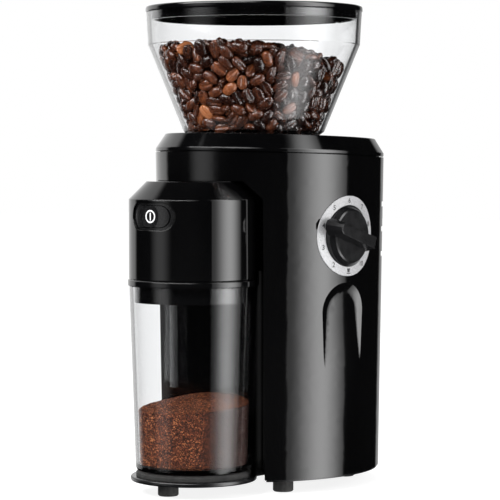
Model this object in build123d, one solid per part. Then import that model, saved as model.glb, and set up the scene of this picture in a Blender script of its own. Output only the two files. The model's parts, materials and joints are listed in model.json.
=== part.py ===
from build123d import *
import os
from math import acos, cos, exp, hypot, log, pi, radians, sin, sqrt, tan

# Burr coffee grinder, in millimetres, Z up, front towards -Y, selector knob on the +X side.
# Every function works from the grind axis (the axis of the hopper and burrs, at X = Y = 0) and
# from the surface the feet stand on (Z = 0). PLACE moves the finished parts so that the row's
# origin is the bottom centre of the whole grinder.

# ---- Driving dimensions -------------------------------------------------------------------
WALL = 2.5                      # moulded wall of the body
GAP = 0.3                       # clearance between curved faces of different bodies
RUN = 0.05                      # radial running clearance of shafts
TOUCH = 0.05                    # slack between faces that rest on each other

# Body: an oval column with a slight draft
PLAN_CENTRE_Y = 14.8
BODY_BOTTOM_Z = 8.0
SEAM_Z = 191.8                  # seam under the top cover, at the front
SEAM_HALF_WIDTH = 62.0
SEAM_HALF_DEPTH = 72.4
BOTTOM_HALF_WIDTH = 59.1
DRAFT = (SEAM_HALF_WIDTH - BOTTOM_HALF_WIDTH) / (SEAM_Z - BODY_BOTTOM_Z)
TOP_TILT = 1.8                  # degrees that the top falls towards the rear
BAND_HEIGHT = 2.4
CHAMFER_IN = 5.4
CHAMFER_UP = 8.3

# Front column with the power button, over the grounds container
COLUMN_Y = -52.3
COLUMN_RADIUS = 36.4
COLUMN_BOTTOM_Z = 120.6
COLUMN_SHOULDER_Z = 165.1
COLUMN_TOP_Z = 175.1
COLUMN_WALL = 2.2
NICHE_RADIUS = 42.3
NICHE_CEILING_Z = 175.3
NICHE_SKIN = 2.2
NECK_HALF_WIDTH = 22.0
NECK_LOW_Z, NECK_HIGH_Z = 124.0, 170.0
NECK_REAR_Y = -10.3

# Power button
BUTTON_Z = 156.0
BUTTON_LENGTH, BUTTON_HEIGHT = 25.0, 11.7
BEZEL_LENGTH, BEZEL_HEIGHT = 31.0, 15.0
SWITCH_FACE_Y = -75.6

# Grounds container
CONTAINER_LOW_Z, CONTAINER_TOP_Z = 12.9, 116.5
CONTAINER_LOW_RADIUS, CONTAINER_TOP_RADIUS = 32.7, 36.2
CONTAINER_WALL = 2.2
LID_RIM_RADIUS = 37.0
LID_TOP_Z = 120.3
SKIRT_LOW_Z = 107.5

# Base and feet
BASE_LOW_Z, BASE_TOP_Z = 6.9, 10.0
TRAY_RADIUS, TRAY_TOP_Z = 35.6, 9.6
PAD_RADIUS, PAD_TOP_Z = 32.5, 12.6
FOOT_RADIUS = 5.8
FEET = {
    "foot_front": (0.0, -73.6),
    "foot_middle_left": (-37.6, -18.6),
    "foot_middle_right": (37.6, -18.6),
    "foot_rear_left": (-26.0, 52.0),
    "foot_rear_right": (26.0, 52.0),
}
BOSSES = [(side * x, y) for side in (-1, 1) for x, y in ((53.2, 12.0), (34.0, 66.0), (49.0, -14.0))]

# Selector knob on the right side, turning about an axis along X
KNOB_Y, KNOB_Z = 10.4, 144.0
KNOB_RADIUS, KNOB_FACE_RADIUS = 17.1, 14.2
KNOB_POCKET_RADIUS = 17.5
KNOB_POCKET_X = 58.6
KNOB_FACE_X, KNOB_OUTER_X = 64.7, 70.6
POINTER_ANGLE = 18.0            # degrees above the horizontal, towards the front
DIAL_RADIUS, DIAL_THICKNESS = 22.7, 0.6
KNOB_SHAFT_RADIUS = 3.0

# Arched scoop under the knob
SCOOP_Y = 8.4
SCOOP_HALF_WIDTH = 16.4
SCOOP_TOP_Z, SCOOP_FADE_Z = 117.6, 70.0
SCOOP_DEPTH = 2.0
SCOOP_RIM = 6.5                 # width over which the pocket's rim slopes down to its floor
SCOOP_LEAN = 0.05               # how fast the arch's legs draw together downwards

# Rear ventilation
VENT_HEIGHTS = (132.0, 146.5, 161.0)
VENT_GROOVE_HEIGHT, VENT_GROOVE_DEPTH = 3.0, 1.2
VENT_SLOT_HEIGHT = 1.8
VENT_START_ANGLE, VENT_END_ANGLE = 38.0, 142.0
VENT_SLOTS = 5

# Inlet of the supply cord, low at the rear
GROMMET_Z = 24.0
GROMMET_BODY_RADIUS = 6.0
CORD_RADIUS = 3.7

# Hopper and its lid
HOPPER_BOTTOM_Z, HOPPER_RIM_Z = 199.0, 271.5
HOPPER_NECK_Z, HOPPER_BEND_Z = 203.0, 253.0
HOPPER_FOOT_RADIUS, HOPPER_NECK_RADIUS = 35.0, 40.6
HOPPER_BEND_RADIUS, HOPPER_RIM_RADIUS = 61.1, 62.2
HOPPER_WALL = 2.5
THROAT_RADIUS = 15.0
HOPPER_OPENING_RADIUS = 43.0
HOPPER_LID_RADIUS = 62.6
HOPPER_LID_TOP_Z = 275.0

# Grinding chamber and burrs
CHAMBER_FLOOR_Z = 180.0
CHAMBER_RADIUS, CHAMBER_WALL = 31.0, 2.5
CHAMBER_TOP_Z = 189.2
CHAMBER_SKIN = 2.0
FLANGE_RADIUS = 40.0
HUB_RADIUS, HUB_LOW_Z = 10.0, 163.2
EAR_OFFSET = 33.0
EARS = [(sx * EAR_OFFSET, sy * EAR_OFFSET) for sx in (-1, 1) for sy in (-1, 1)]
KEY_HALF_WIDTH = 2.0
BEARING_RADIUS = 8.0
PORT_HALF_WIDTH, PORT_LOW_Z, PORT_HIGH_Z = 10.7, 180.6, 186.6
RING_LOW_Z, RING_TOP_Z = 189.6, 198.6
RING_OUTER, RING_INNER = 40.3, 31.3
CARRIER_LOW_Z, CARRIER_TOP_Z = 184.6, 197.6
CARRIER_RADIUS = CHAMBER_RADIUS - GAP
UPPER_BURR_RADIUS = 24.5
UPPER_BURR_LOW_Z, UPPER_BURR_TOP_Z = 185.2, 195.8
LOWER_BURR_RADIUS = 20.0
LOWER_BURR_LOW_Z, LOWER_BURR_TOP_Z = 184.4, 197.4
LOWER_BURR_TOP_RADIUS = 8.6
BURR_GAP = 1.7
SWEEPER_LOW_Z = 180.6
SWEEPER_RADIUS = 29.6
SHAFT_RADIUS = 4.0

# Chute from the chamber down through the front column
CHUTE_Y = -46.0
CHUTE_HALF_X, CHUTE_HALF_Y = 12.3, 7.3
CHUTE_WALL = 1.6
CHUTE_TOP_Z = 188.2

# Gear train: burr axis, intermediate axis and motor axis lie on one line towards the rear
PRESSURE_ANGLE = radians(20.0)
MODULE_FAST, MODULE_SLOW = 0.8, 1.0
MOTOR_PINION_TEETH, WHEEL_TEETH = 14, 56
SMALL_PINION_TEETH, OUTPUT_TEETH = 14, 34
BACKLASH = 0.16
AXIS_B = MODULE_SLOW * (SMALL_PINION_TEETH + OUTPUT_TEETH) / 2
AXIS_C = AXIS_B + MODULE_FAST * (MOTOR_PINION_TEETH + WHEEL_TEETH) / 2
WHEEL_LOW_Z, WHEEL_TOP_Z = 129.0, 135.0
OUTPUT_LOW_Z, OUTPUT_TOP_Z = 146.0, 156.0
BOX_LOW_Z, BOX_PLATE_Z, BOX_COVER_Z, BOX_TOP_Z = 124.0, 141.0, 143.5, 163.0
BOX_WALL = 2.0
BOX_EARS = [(30.0, AXIS_B), (-30.0, AXIS_B), (14.0, AXIS_C + 4), (-14.0, AXIS_C + 4)]
BUSH_RADIUS = 5.6

# Motor
MOTOR_RADIUS = 26.0
MOTOR_LOW_Z, MOTOR_TOP_Z, CAP_TOP_Z = 56.0, 118.0, 123.8
MOTOR_SHAFT_RADIUS = 2.5
ROTOR_RADIUS = 18.2

# Where the grind axis lies in the row's frame
FRONT_Y = COLUMN_Y - LID_RIM_RADIUS
BODY_FRONT_Y = PLAN_CENTRE_Y - SEAM_HALF_DEPTH
REAR_Y = PLAN_CENTRE_Y + SEAM_HALF_DEPTH
PLACE = Pos(-(KNOB_OUTER_X - HOPPER_LID_RADIUS) / 2, -(REAR_Y + FRONT_Y) / 2, 0)
TOP_FRAME = Location((0, BODY_FRONT_Y, SEAM_Z), (-TOP_TILT, 0, 0))


# ---- Basic shapes -------------------------------------------------------------------------
def rod(radius, z_low, z_high, x=0.0, y=0.0):
    """Upright cylinder."""
    return Pos(x, y, (z_low + z_high) / 2) * Cylinder(radius, z_high - z_low)


def tube(outer, inner, z_low, z_high, x=0.0, y=0.0):
    """Upright hollow cylinder."""
    return rod(outer, z_low, z_high, x, y) - rod(inner, z_low - 1, z_high + 1, x, y)


def rod_x(radius, x_low, x_high, y=KNOB_Y, z=KNOB_Z):
    """Cylinder along X, on the knob's axis unless told otherwise."""
    return Pos((x_low + x_high) / 2, y, z) * Rot(0, 90, 0) * Cylinder(radius, x_high - x_low)


def rod_y(radius, y_low, y_high, x=0.0, z=BUTTON_Z):
    """Cylinder along Y."""
    return Pos(x, (y_low + y_high) / 2, z) * Rot(90, 0, 0) * Cylinder(radius, y_high - y_low)


def block(x_low, x_high, y_low, y_high, z_low, z_high):
    """Box between two corners."""
    centre = Pos((x_low + x_high) / 2, (y_low + y_high) / 2, (z_low + z_high) / 2)
    return centre * Box(x_high - x_low, y_high - y_low, z_high - z_low)


def turned(profile, x=0.0, y=0.0):
    """Solid of revolution about an upright axis, from (radius, height) points."""
    points = [(radius, 0, height) for radius, height in profile]
    face = make_face(Polyline(*points, close=True))
    return Pos(x, y, 0) * revolve(face, Axis.Z)


def half_width(z):
    return BOTTOM_HALF_WIDTH + DRAFT * (z - BODY_BOTTOM_Z)


def half_depth(z):
    return SEAM_HALF_DEPTH - DRAFT * (SEAM_Z - z)


def oval(z, inset):
    """Horizontal section of the body, drawn in by inset."""
    return Pos(0, PLAN_CENTRE_Y, z) * Ellipse(half_width(z) - inset, half_depth(z) - inset)


def oval_column(z_low, z_high, inset_low=0.0, inset_high=None):
    """The body's drafted column between two heights, drawn in by the insets."""
    inset_high = inset_low if inset_high is None else inset_high
    return loft([oval(z_low, inset_low), oval(z_high, inset_high)], ruled=True)


def niche_form(grow=0.0, z_low=0.0):
    """Round bay that the front column and the container stand in, with a 45 degree shoulder."""
    radius = NICHE_RADIUS + grow
    ceiling = NICHE_CEILING_Z + grow
    shoulder = 10.0
    lean = grow * (sqrt(2) - 1)
    profile = [
        (0, z_low),
        (radius, z_low),
        (radius, ceiling - shoulder - grow + lean),
        (radius - shoulder - grow + lean, ceiling),
        (0, ceiling),
    ]
    return turned(profile, y=COLUMN_Y)


def oblong(length, height, y_low, y_high, z=BUTTON_Z):
    """Bar with round ends, lying along X and reaching from y_low to y_high."""
    face = Plane.XZ * SlotOverall(length, height)
    return Pos(0, y_high, z) * extrude(face, y_high - y_low)


def column_skin(outer, inner):
    """Thin upright shell about the front column's axis."""
    return tube(outer, inner, COLUMN_BOTTOM_Z, COLUMN_SHOULDER_Z, y=COLUMN_Y)


def wedge(centre_y, start, end, z_low, z_high):
    """Upright wedge between two angles, measured from +X towards +Y."""
    reach = 140.0
    middle = (start + end) / 2
    corners = [(0, 0)]
    corners += [(reach * cos(radians(a)), reach * sin(radians(a))) for a in (start, middle, end)]
    face = make_face(Polyline(*corners, close=True))
    return Pos(0, centre_y, z_low) * extrude(face, z_high - z_low)


def pan_screw(x, y, head_z, length, up=True, radius=1.4, head_radius=2.8, head_height=2.0):
    """Screw with a flat head at head_z and its shank pointing up, or down."""
    way = 1 if up else -1
    screw = rod(head_radius, min(0, -way * head_height), max(0, -way * head_height))
    screw += rod(radius, min(0, way * length), max(0, way * length))
    drive = Pos(0, 0, -way * head_height) * (Box(3.2, 0.8, 1.4) + Box(0.8, 3.2, 1.4))
    return Pos(x, y, head_z) * (screw - drive)


# ---- Casing -------------------------------------------------------------------------------
def scoop_arch(half_width_of_arch, x_low, x_high):
    """Arched bar along X: a half circle on a rectangle."""
    centre_z = SCOOP_TOP_Z - SCOOP_HALF_WIDTH
    arch = rod_x(half_width_of_arch, x_low, x_high, SCOOP_Y, centre_z)
    return arch + block(x_low, x_high, SCOOP_Y - half_width_of_arch, SCOOP_Y + half_width_of_arch,
                        SCOOP_FADE_Z - 6, centre_z)


def scoop_depth(y, z):
    """Depth of the arched pocket below the body's surface; negative outside the arch."""
    centre_z = SCOOP_TOP_Z - SCOOP_HALF_WIDTH
    within = SCOOP_HALF_WIDTH - hypot(y - SCOOP_Y, max(z - centre_z, 0))
    within -= SCOOP_LEAN * max(centre_z - z, 0)
    rim = SCOOP_DEPTH * sin(pi / 2 * max(-1.0, min(1.0, within / SCOOP_RIM)))
    fade = SCOOP_DEPTH * (z - SCOOP_FADE_Z) / (centre_z - SCOOP_FADE_Z)
    sharpness = 5.0
    return -log(exp(-sharpness * rim) + exp(-sharpness * fade)) / sharpness


def scoop_cutter():
    """Solid outside the pocket's floor: a smooth sheet through a grid of depths, drawn outwards."""
    step, margin = 1.6, 6.0
    across = int(2 * (SCOOP_HALF_WIDTH + margin) / step)
    rows = int((SCOOP_TOP_Z + margin - SCOOP_FADE_Z + 4) / step)
    grid = []
    for row in range(rows + 1):
        z = SCOOP_FADE_Z - 4 + step * row
        line = []
        for column in range(across + 1):
            y = SCOOP_Y - SCOOP_HALF_WIDTH - margin + step * column
            surface = half_width(z) * sqrt(1 - ((y - PLAN_CENTRE_Y) / half_depth(z)) ** 2)
            line.append(Vector(surface - scoop_depth(y, z), y, z))
        grid.append(line)
    sheet = Face.make_surface_from_array_of_points(grid, tol=0.01)
    return extrude(sheet, amount=12, dir=(1, 0, 0))


def body_shell():
    """Tall body moulding with the front bay, the scoop, the knob's pocket and the rear vents."""
    outer = oval_column(BODY_BOTTOM_Z, SEAM_Z + 12)
    inside = oval_column(BODY_BOTTOM_Z - 1, SEAM_Z + 13, WALL)
    niche = niche_form(z_low=BODY_BOTTOM_Z - 1)
    knob_pad = rod_x(KNOB_POCKET_RADIUS + 2.4, KNOB_POCKET_X - 2.4, 80)
    deep = SCOOP_DEPTH + WALL
    scoop_pad = scoop_arch(SCOOP_HALF_WIDTH + 2.2, 40, 80) - oval_column(20, 150, deep)
    cavity = inside - niche_form(NICHE_SKIN, BODY_BOTTOM_Z - 2) - knob_pad - scoop_pad
    for x, y in BOSSES:
        cavity -= rod(4.0, BASE_TOP_Z + 0.2, 28.0, x, y)
    shell = outer - cavity - niche
    shell -= TOP_FRAME * Pos(0, SEAM_HALF_DEPTH, 50) * Box(300, 300, 100)
    shell -= rod_x(KNOB_POCKET_RADIUS, KNOB_POCKET_X, 80)
    shell -= rod_x(KNOB_SHAFT_RADIUS + 1.0, 40, 80)
    shell -= scoop_cutter()
    shell -= block(-NECK_HALF_WIDTH - GAP, NECK_HALF_WIDTH + GAP, -30, -5,
                   NECK_LOW_Z - GAP, NECK_HIGH_Z + GAP)
    shell -= chute_hole(NICHE_CEILING_Z - 1, NICHE_CEILING_Z + 4)
    shell -= block(-20.3, 20.3, -30, -5, 0, TRAY_TOP_Z + GAP)
    for x, y in BOSSES:
        shell -= rod(1.5, 0, 24, x, y)
    for z in VENT_HEIGHTS:
        shell -= vent_groove(z)
        for slot in vent_slots(z):
            shell -= slot
    shell -= rod_y(GROMMET_BODY_RADIUS + 0.1, 70, 95, z=GROMMET_Z)
    return shell


def vent_groove(z):
    low, high = z - VENT_GROOVE_HEIGHT / 2, z + VENT_GROOVE_HEIGHT / 2
    band = oval_column(low, high, -3) - oval_column(low - 1, high + 1, VENT_GROOVE_DEPTH)
    return band & wedge(PLAN_CENTRE_Y, VENT_START_ANGLE, VENT_END_ANGLE, low, high)


def vent_slots(z):
    low, high = z - VENT_SLOT_HEIGHT / 2, z + VENT_SLOT_HEIGHT / 2
    band = oval_column(low, high, -3) - oval_column(low - 1, high + 1, WALL + 1)
    step = (VENT_END_ANGLE - VENT_START_ANGLE - 8) / VENT_SLOTS
    starts = [VENT_START_ANGLE + 4 + step * i for i in range(VENT_SLOTS)]
    return [band & wedge(PLAN_CENTRE_Y, a + 2, a + step - 2, low, high) for a in starts]


def chute_hole(z_low, z_high):
    slack = GAP
    return block(-CHUTE_HALF_X - slack, CHUTE_HALF_X + slack,
                 CHUTE_Y - CHUTE_HALF_Y - slack, CHUTE_Y + CHUTE_HALF_Y + slack, z_low, z_high)


def cover_oval(rise, inset):
    """Section of the top cover, square to its own tilted axis."""
    place = TOP_FRAME * Pos(0, SEAM_HALF_DEPTH, rise)
    return place * Ellipse(SEAM_HALF_WIDTH - inset, SEAM_HALF_DEPTH - inset)


def cover_layer(rise_low, rise_high, inset_low, inset_high):
    return loft([cover_oval(rise_low, inset_low), cover_oval(rise_high, inset_high)], ruled=True)


def top_cover():
    """Chamfered top with the round opening for the hopper and four pillars for the chamber."""
    seam = 0.35
    edge = 0.5
    rise = BAND_HEIGHT + CHAMFER_UP
    outer = cover_layer(seam, seam + edge, edge, 0.1)
    outer += cover_layer(seam + edge, BAND_HEIGHT, 0.1, 0.1)
    outer += cover_layer(BAND_HEIGHT, rise, 0.1, CHAMFER_IN)
    inner = cover_layer(-1, BAND_HEIGHT - 1, WALL, WALL)
    inner += cover_layer(BAND_HEIGHT - 1, rise - WALL, WALL, CHAMFER_IN + WALL - 0.6)
    lip = cover_layer(-3, seam + 1, WALL + GAP, WALL + GAP)
    lip += cover_layer(seam + 0.15, seam + 1, WALL - 0.5, WALL - 0.5)
    lip -= cover_layer(-4, seam + 2, WALL + 2.1, WALL + 2.1)
    cover = outer - inner + lip
    above = TOP_FRAME * Pos(0, SEAM_HALF_DEPTH, rise - 1 + 50) * Box(300, 300, 100)
    collar = rod(HOPPER_OPENING_RADIUS + 2, RING_TOP_Z - 3, 215)
    cover += collar - above
    for x, y in EARS:
        cover += (rod(4.0, CHAMBER_TOP_Z + TOUCH, 215, x, y) & oval_column(180, 220, 9)) - above
    cover -= rod(HOPPER_OPENING_RADIUS, 150, 250)
    for x, y in EARS:
        cover -= rod(1.5, 180, 197.5, x, y)
    return cover


def column_profile(inset=0.0):
    """Half section of the front column, drawn in by inset."""
    radius = COLUMN_RADIUS - inset
    shoulder = COLUMN_SHOULDER_Z - inset * (sqrt(2) - 1)
    top = COLUMN_TOP_Z - inset
    return [(0, COLUMN_BOTTOM_Z), (radius, COLUMN_BOTTOM_Z), (radius, shoulder),
            (radius - (top - shoulder), top), (0, top)]


def front_housing():
    """Hollow front column with the neck that ties it to the body."""
    column = turned(column_profile(), y=COLUMN_Y)
    hollow = turned(column_profile(COLUMN_WALL), y=COLUMN_Y)
    hollow += rod(COLUMN_RADIUS - COLUMN_WALL, COLUMN_BOTTOM_Z - 1, COLUMN_BOTTOM_Z + 1, y=COLUMN_Y)
    neck = block(-NECK_HALF_WIDTH, NECK_HALF_WIDTH, -36, NECK_REAR_Y, NECK_LOW_Z, NECK_HIGH_Z)
    tunnel = block(-NECK_HALF_WIDTH + 2, NECK_HALF_WIDTH - 2, -40, -5, NECK_LOW_Z + 2,
                   NECK_HIGH_Z - 2)
    niche_face = niche_form(-GAP, 100)
    past_wall = block(-19.7, 19.7, -40, NECK_REAR_Y, NECK_LOW_Z, NECK_HIGH_Z)
    housing = column + (neck & (niche_face + past_wall)) - hollow - tunnel
    housing -= chute_hole(COLUMN_TOP_Z - 5, COLUMN_TOP_Z + 1)
    housing -= oblong(BEZEL_LENGTH + 0.2, BEZEL_HEIGHT + 0.2, -95, -70)
    return housing


def front_housing_floor():
    """Plate that closes the column's underside round the chute's mouth."""
    radius = COLUMN_RADIUS - COLUMN_WALL - 0.1
    plate = rod(radius, COLUMN_BOTTOM_Z, COLUMN_BOTTOM_Z + 2.2, y=COLUMN_Y)
    inner_x, inner_y = CHUTE_HALF_X - CHUTE_WALL, CHUTE_HALF_Y - CHUTE_WALL
    return plate - block(-inner_x, inner_x, CHUTE_Y - inner_y, CHUTE_Y + inner_y, 110, 130)


def button_bezel():
    """Sunk oblong frame round the power button, with a flange behind the column's wall."""
    frame = oblong(BEZEL_LENGTH, BEZEL_HEIGHT, -95, -60) & column_skin(35.2, 32.4)
    inner_wall = COLUMN_RADIUS - COLUMN_WALL - 0.1
    flange = oblong(BEZEL_LENGTH + 3, BEZEL_HEIGHT + 1, -95, -60) & column_skin(inner_wall, 32.4)
    return frame + flange - oblong(BUTTON_LENGTH + 0.6, BUTTON_HEIGHT + 0.6, -95, -60)


def base_cover():
    """Bottom plate with the round tray in front that carries the container."""
    skirt = oval_column(BASE_LOW_Z, BODY_BOTTOM_Z, 0.8)
    plate = oval_column(BODY_BOTTOM_Z, BASE_TOP_Z, WALL + 0.3)
    skirt -= rod(NICHE_RADIUS + 0.6, 0, 20, y=COLUMN_Y)
    plate -= rod(NICHE_RADIUS + NICHE_SKIN + 0.3, 0, 20, y=COLUMN_Y)
    tray = rod(TRAY_RADIUS, BASE_LOW_Z, TRAY_TOP_Z, y=COLUMN_Y)
    tray = fillet(tray.edges(), 1.0)
    web = block(-20, 20, -32, -6.5, BASE_LOW_Z, TRAY_TOP_Z)
    cover = skirt + plate + tray + web
    for x, y in BOSSES:
        cover -= rod(1.6, 0, 20, x, y) + rod(3.4, 0, BODY_BOTTOM_Z, x, y)
    for x, y in FEET.values():
        cover -= rod(3.0, 0, 20, x, y)
    for step in range(-3, 4):
        cover -= block(-16, 16, 49 + 5 * step, 51 + 5 * step, 0, 20)
    return cover


def container_pad():
    """Rubber disc on the tray, on which the container stands."""
    pad = rod(PAD_RADIUS, TRAY_TOP_Z + TOUCH, PAD_TOP_Z, y=COLUMN_Y)
    pad = chamfer(pad.edges().sort_by(Axis.Z)[-1:], 1.2)
    x, y = FEET["foot_front"]
    return pad - rod(3.6, 0, TRAY_TOP_Z + 0.8, x, y)


def foot(x, y):
    """Rubber foot with a stem pressed up through the base."""
    sole = turned([(0, 0), (FOOT_RADIUS - 0.6, 0), (FOOT_RADIUS, 0.6),
                   (FOOT_RADIUS, BASE_LOW_Z - TOUCH), (0, BASE_LOW_Z - TOUCH)], x, y)
    return sole + rod(2.9, BASE_LOW_Z - 1, TRAY_TOP_Z + 0.6, x, y)


def cord_grommet():
    """Flanged bush at the rear, through which the supply cord enters."""
    rear = PLAN_CENTRE_Y + half_depth(GROMMET_Z)
    bush = rod_y(GROMMET_BODY_RADIUS, rear - 6, rear + 1.2, z=GROMMET_Z)
    bush += rod_y(GROMMET_BODY_RADIUS + 1.6, rear + 0.25, rear + 1.6, z=GROMMET_Z)
    bush += rod_y(GROMMET_BODY_RADIUS + 1.2, rear - 6, rear - WALL - 1.0, z=GROMMET_Z)
    return bush - rod_y(CORD_RADIUS, rear - 20, rear + 20, z=GROMMET_Z)


def base_screws():
    return [pan_screw(x, y, BODY_BOTTOM_Z - TOUCH, 13, head_height=1.2) for x, y in BOSSES]


# ---- Power button -------------------------------------------------------------------------
def power_button():
    """Push cap with a shallow hollow, and the plunger behind it."""
    cap = oblong(BUTTON_LENGTH, BUTTON_HEIGHT, -95, -81.5) & column_skin(36.0, 20.0)
    dish_radius, dish_depth = 46.0, 0.5
    cap -= Pos(0, COLUMN_Y - 36.0 - dish_radius + dish_depth, BUTTON_Z) * Rot(0, 90, 0) * Cylinder(
        dish_radius, 60)
    cap -= oblong(BUTTON_LENGTH - 3.6, BUTTON_HEIGHT - 3.6, -84.5, -80)
    return cap + rod_y(2.0, -85.5, -77.6)


def power_switch():
    """Push switch on a carrier behind the button."""
    case = block(-6.5, 6.5, SWITCH_FACE_Y, SWITCH_FACE_Y + 11, BUTTON_Z - 6.5, BUTTON_Z + 6.5)
    case = chamfer(case.edges().filter_by(Axis.Y), 0.8)
    pins = [block(x - 0.4, x + 0.4, SWITCH_FACE_Y + 11, SWITCH_FACE_Y + 14.5, BUTTON_Z - 2,
                  BUTTON_Z + 2) for x in (-3.5, 3.5)]
    ears = block(-10, 10, SWITCH_FACE_Y + 1, SWITCH_FACE_Y + 2.6, BUTTON_Z - 4, BUTTON_Z + 4)
    return case + ears + pins


def button_spring():
    """Return spring round the plunger, at its pressed length."""
    length = 4.2
    coil_radius, wire_radius = 3.3, 0.3
    path = Helix(pitch=1.0, height=length, radius=coil_radius)
    section = Plane(path @ 0, z_dir=path % 0) * Circle(wire_radius)
    coil = sweep(section, path, is_frenet=True)
    return Pos(0, SWITCH_FACE_Y - 0.35, BUTTON_Z) * Rot(90, 0, 0) * coil


# ---- Selector knob ------------------------------------------------------------------------
def dial_ring():
    """Thin metal ring that follows the body's curve round the knob."""
    low, high = KNOB_Z - 30, KNOB_Z + 30
    skin = oval_column(low, high, -DIAL_THICKNESS - TOUCH) - oval_column(low - 1, high + 1, -TOUCH)
    return skin & (rod_x(DIAL_RADIUS, 40, 80) - rod_x(KNOB_POCKET_RADIUS, 30, 90))


def knob_sketch(points, x):
    """Face square to X; points are (along the pointer, across it)."""
    face = make_face(Polyline(*points, close=True))
    turn = Plane(origin=(x, KNOB_Y, KNOB_Z), x_dir=(0, -cos(radians(POINTER_ANGLE)),
                                                    sin(radians(POINTER_ANGLE))), z_dir=(1, 0, 0))
    return turn * face


def knob():
    """Round base with a tapered grip bar that ends in a pointer."""
    side = turned([(0, 59.0), (KNOB_RADIUS, 59.0), (KNOB_RADIUS, 61.7),
                   (KNOB_FACE_RADIUS + 0.9, KNOB_FACE_X - 0.6),
                   (KNOB_FACE_RADIUS, KNOB_FACE_X), (0, KNOB_FACE_X)])
    side -= tube(KNOB_RADIUS - 2.2, 6.0, 58, 62.4)
    base = Pos(0, KNOB_Y, KNOB_Z) * Rot(0, 90, 0) * side
    bar_low = knob_sketch([(-15.2, -5.0), (18.8, -5.0), (22.3, -2.7), (23.2, 0), (22.3, 2.7),
                           (18.8, 5.0), (-15.2, 5.0)], 62.4)
    bar_high = knob_sketch([(-14.3, -3.3), (15.4, -3.3), (17.2, -1.9), (17.7, 0), (17.2, 1.9),
                            (15.4, 3.3), (-14.3, 3.3)], KNOB_OUTER_X)
    bar = loft([bar_low, bar_high], ruled=True)
    grip = fillet(bar.faces().sort_by(Axis.X)[-1].edges(), 0.5)
    dot = knob_sketch([(9.6, -0.4), (10.4, -0.4), (10.4, 0.4), (9.6, 0.4)], KNOB_OUTER_X - 0.4)
    handle = base + grip - extrude(dot, 2)
    return handle - rod_x(KNOB_SHAFT_RADIUS + 0.02, 50, 63.5)


def knob_shaft():
    """Steel spindle of the selector switch, with a flat for the knob."""
    shaft = rod_x(KNOB_SHAFT_RADIUS, 45.5, 63.2)
    return shaft - block(56.8, 70, KNOB_Y - 5, KNOB_Y + 5, KNOB_Z + 2.4, KNOB_Z + 6)


def selector_switch():
    """Rotary switch behind the knob, with its threaded bushing and nut."""
    case = rod_x(8.5, 39.2, 50.0)
    case += rod_x(3.9, 50.0, 58.2)
    nut = extrude(Plane.YZ * RegularPolygon(6.0, 6), 1.6)
    case += Pos(54.3, KNOB_Y, KNOB_Z) * nut
    for step in (-1, 0, 1):
        case += block(42, 43, KNOB_Y - 0.8 + 5 * step, KNOB_Y + 0.8 + 5 * step, KNOB_Z - 13,
                      KNOB_Z - 6)
    return case - rod_x(KNOB_SHAFT_RADIUS + RUN, 45.2, 80)


def control_board():
    """Circuit board on edge beside the gearbox."""
    board = block(36.4, 38.0, -9, 31, 106, 170)
    for y, z in ((-6, 109), (28, 109), (-6, 167), (28, 167)):
        board -= rod_x(1.6, 30, 45, y, z)
    return board


def board_components():
    """Transformer, capacitor, relay, heat sink and terminal block on the board."""
    face = 38.0 + TOUCH
    transformer = block(face, face + 13, -5, 14, 112, 130)
    capacitor = rod_x(5.0, face, face + 14, 22, 118)
    relay = block(face, face + 10, 17.5, 30.5, 150, 166)
    sink = block(face, face + 1.5, -6, 1, 138, 164)
    for step in range(4):
        sink += block(face + 1.4, face + 9, -5.6 + 1.9 * step, -4.8 + 1.9 * step, 138, 164)
    terminals = block(face, face + 8, 18.5, 30, 129, 137)
    return [transformer, capacitor, relay, sink, terminals]


# ---- Hopper -------------------------------------------------------------------------------
def hopper():
    """Clear bean hopper: a cone under a nearly straight band, with a funnel floor."""
    wall = HOPPER_WALL
    cone_wall = wall * 1.08
    profile = [
        (THROAT_RADIUS, HOPPER_BOTTOM_Z),
        (HOPPER_FOOT_RADIUS, HOPPER_BOTTOM_Z),
        (HOPPER_NECK_RADIUS, HOPPER_NECK_Z),
        (HOPPER_BEND_RADIUS, HOPPER_BEND_Z),
        (HOPPER_RIM_RADIUS, HOPPER_RIM_Z),
        (HOPPER_RIM_RADIUS - wall, HOPPER_RIM_Z),
        (HOPPER_BEND_RADIUS - wall, HOPPER_BEND_Z + 0.5),
        (HOPPER_NECK_RADIUS - cone_wall + 0.4, HOPPER_NECK_Z + 1.0),
        (THROAT_RADIUS + 1.5, HOPPER_BOTTOM_Z + 2.2),
        (THROAT_RADIUS, HOPPER_BOTTOM_Z + 1.2),
    ]
    return turned(profile)


def hopper_lid():
    """Black lid whose skirt drops inside the hopper's rim."""
    low = HOPPER_RIM_Z + GAP
    top = HOPPER_LID_TOP_Z
    skirt = HOPPER_RIM_RADIUS - HOPPER_WALL - 0.5
    soft = 1.1
    profile = [
        (0, top), (HOPPER_LID_RADIUS - soft, top), (HOPPER_LID_RADIUS - 0.3, top - 0.35),
        (HOPPER_LID_RADIUS, top - soft), (HOPPER_LID_RADIUS, low + 0.4),
        (HOPPER_LID_RADIUS - 0.4, low), (skirt, low), (skirt, 267.6), (skirt - 0.4, 267.2),
        (skirt - 1.8, 267.2), (skirt - 1.8, top - 2.2), (0, top - 2.2),
    ]
    return turned(profile)


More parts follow.
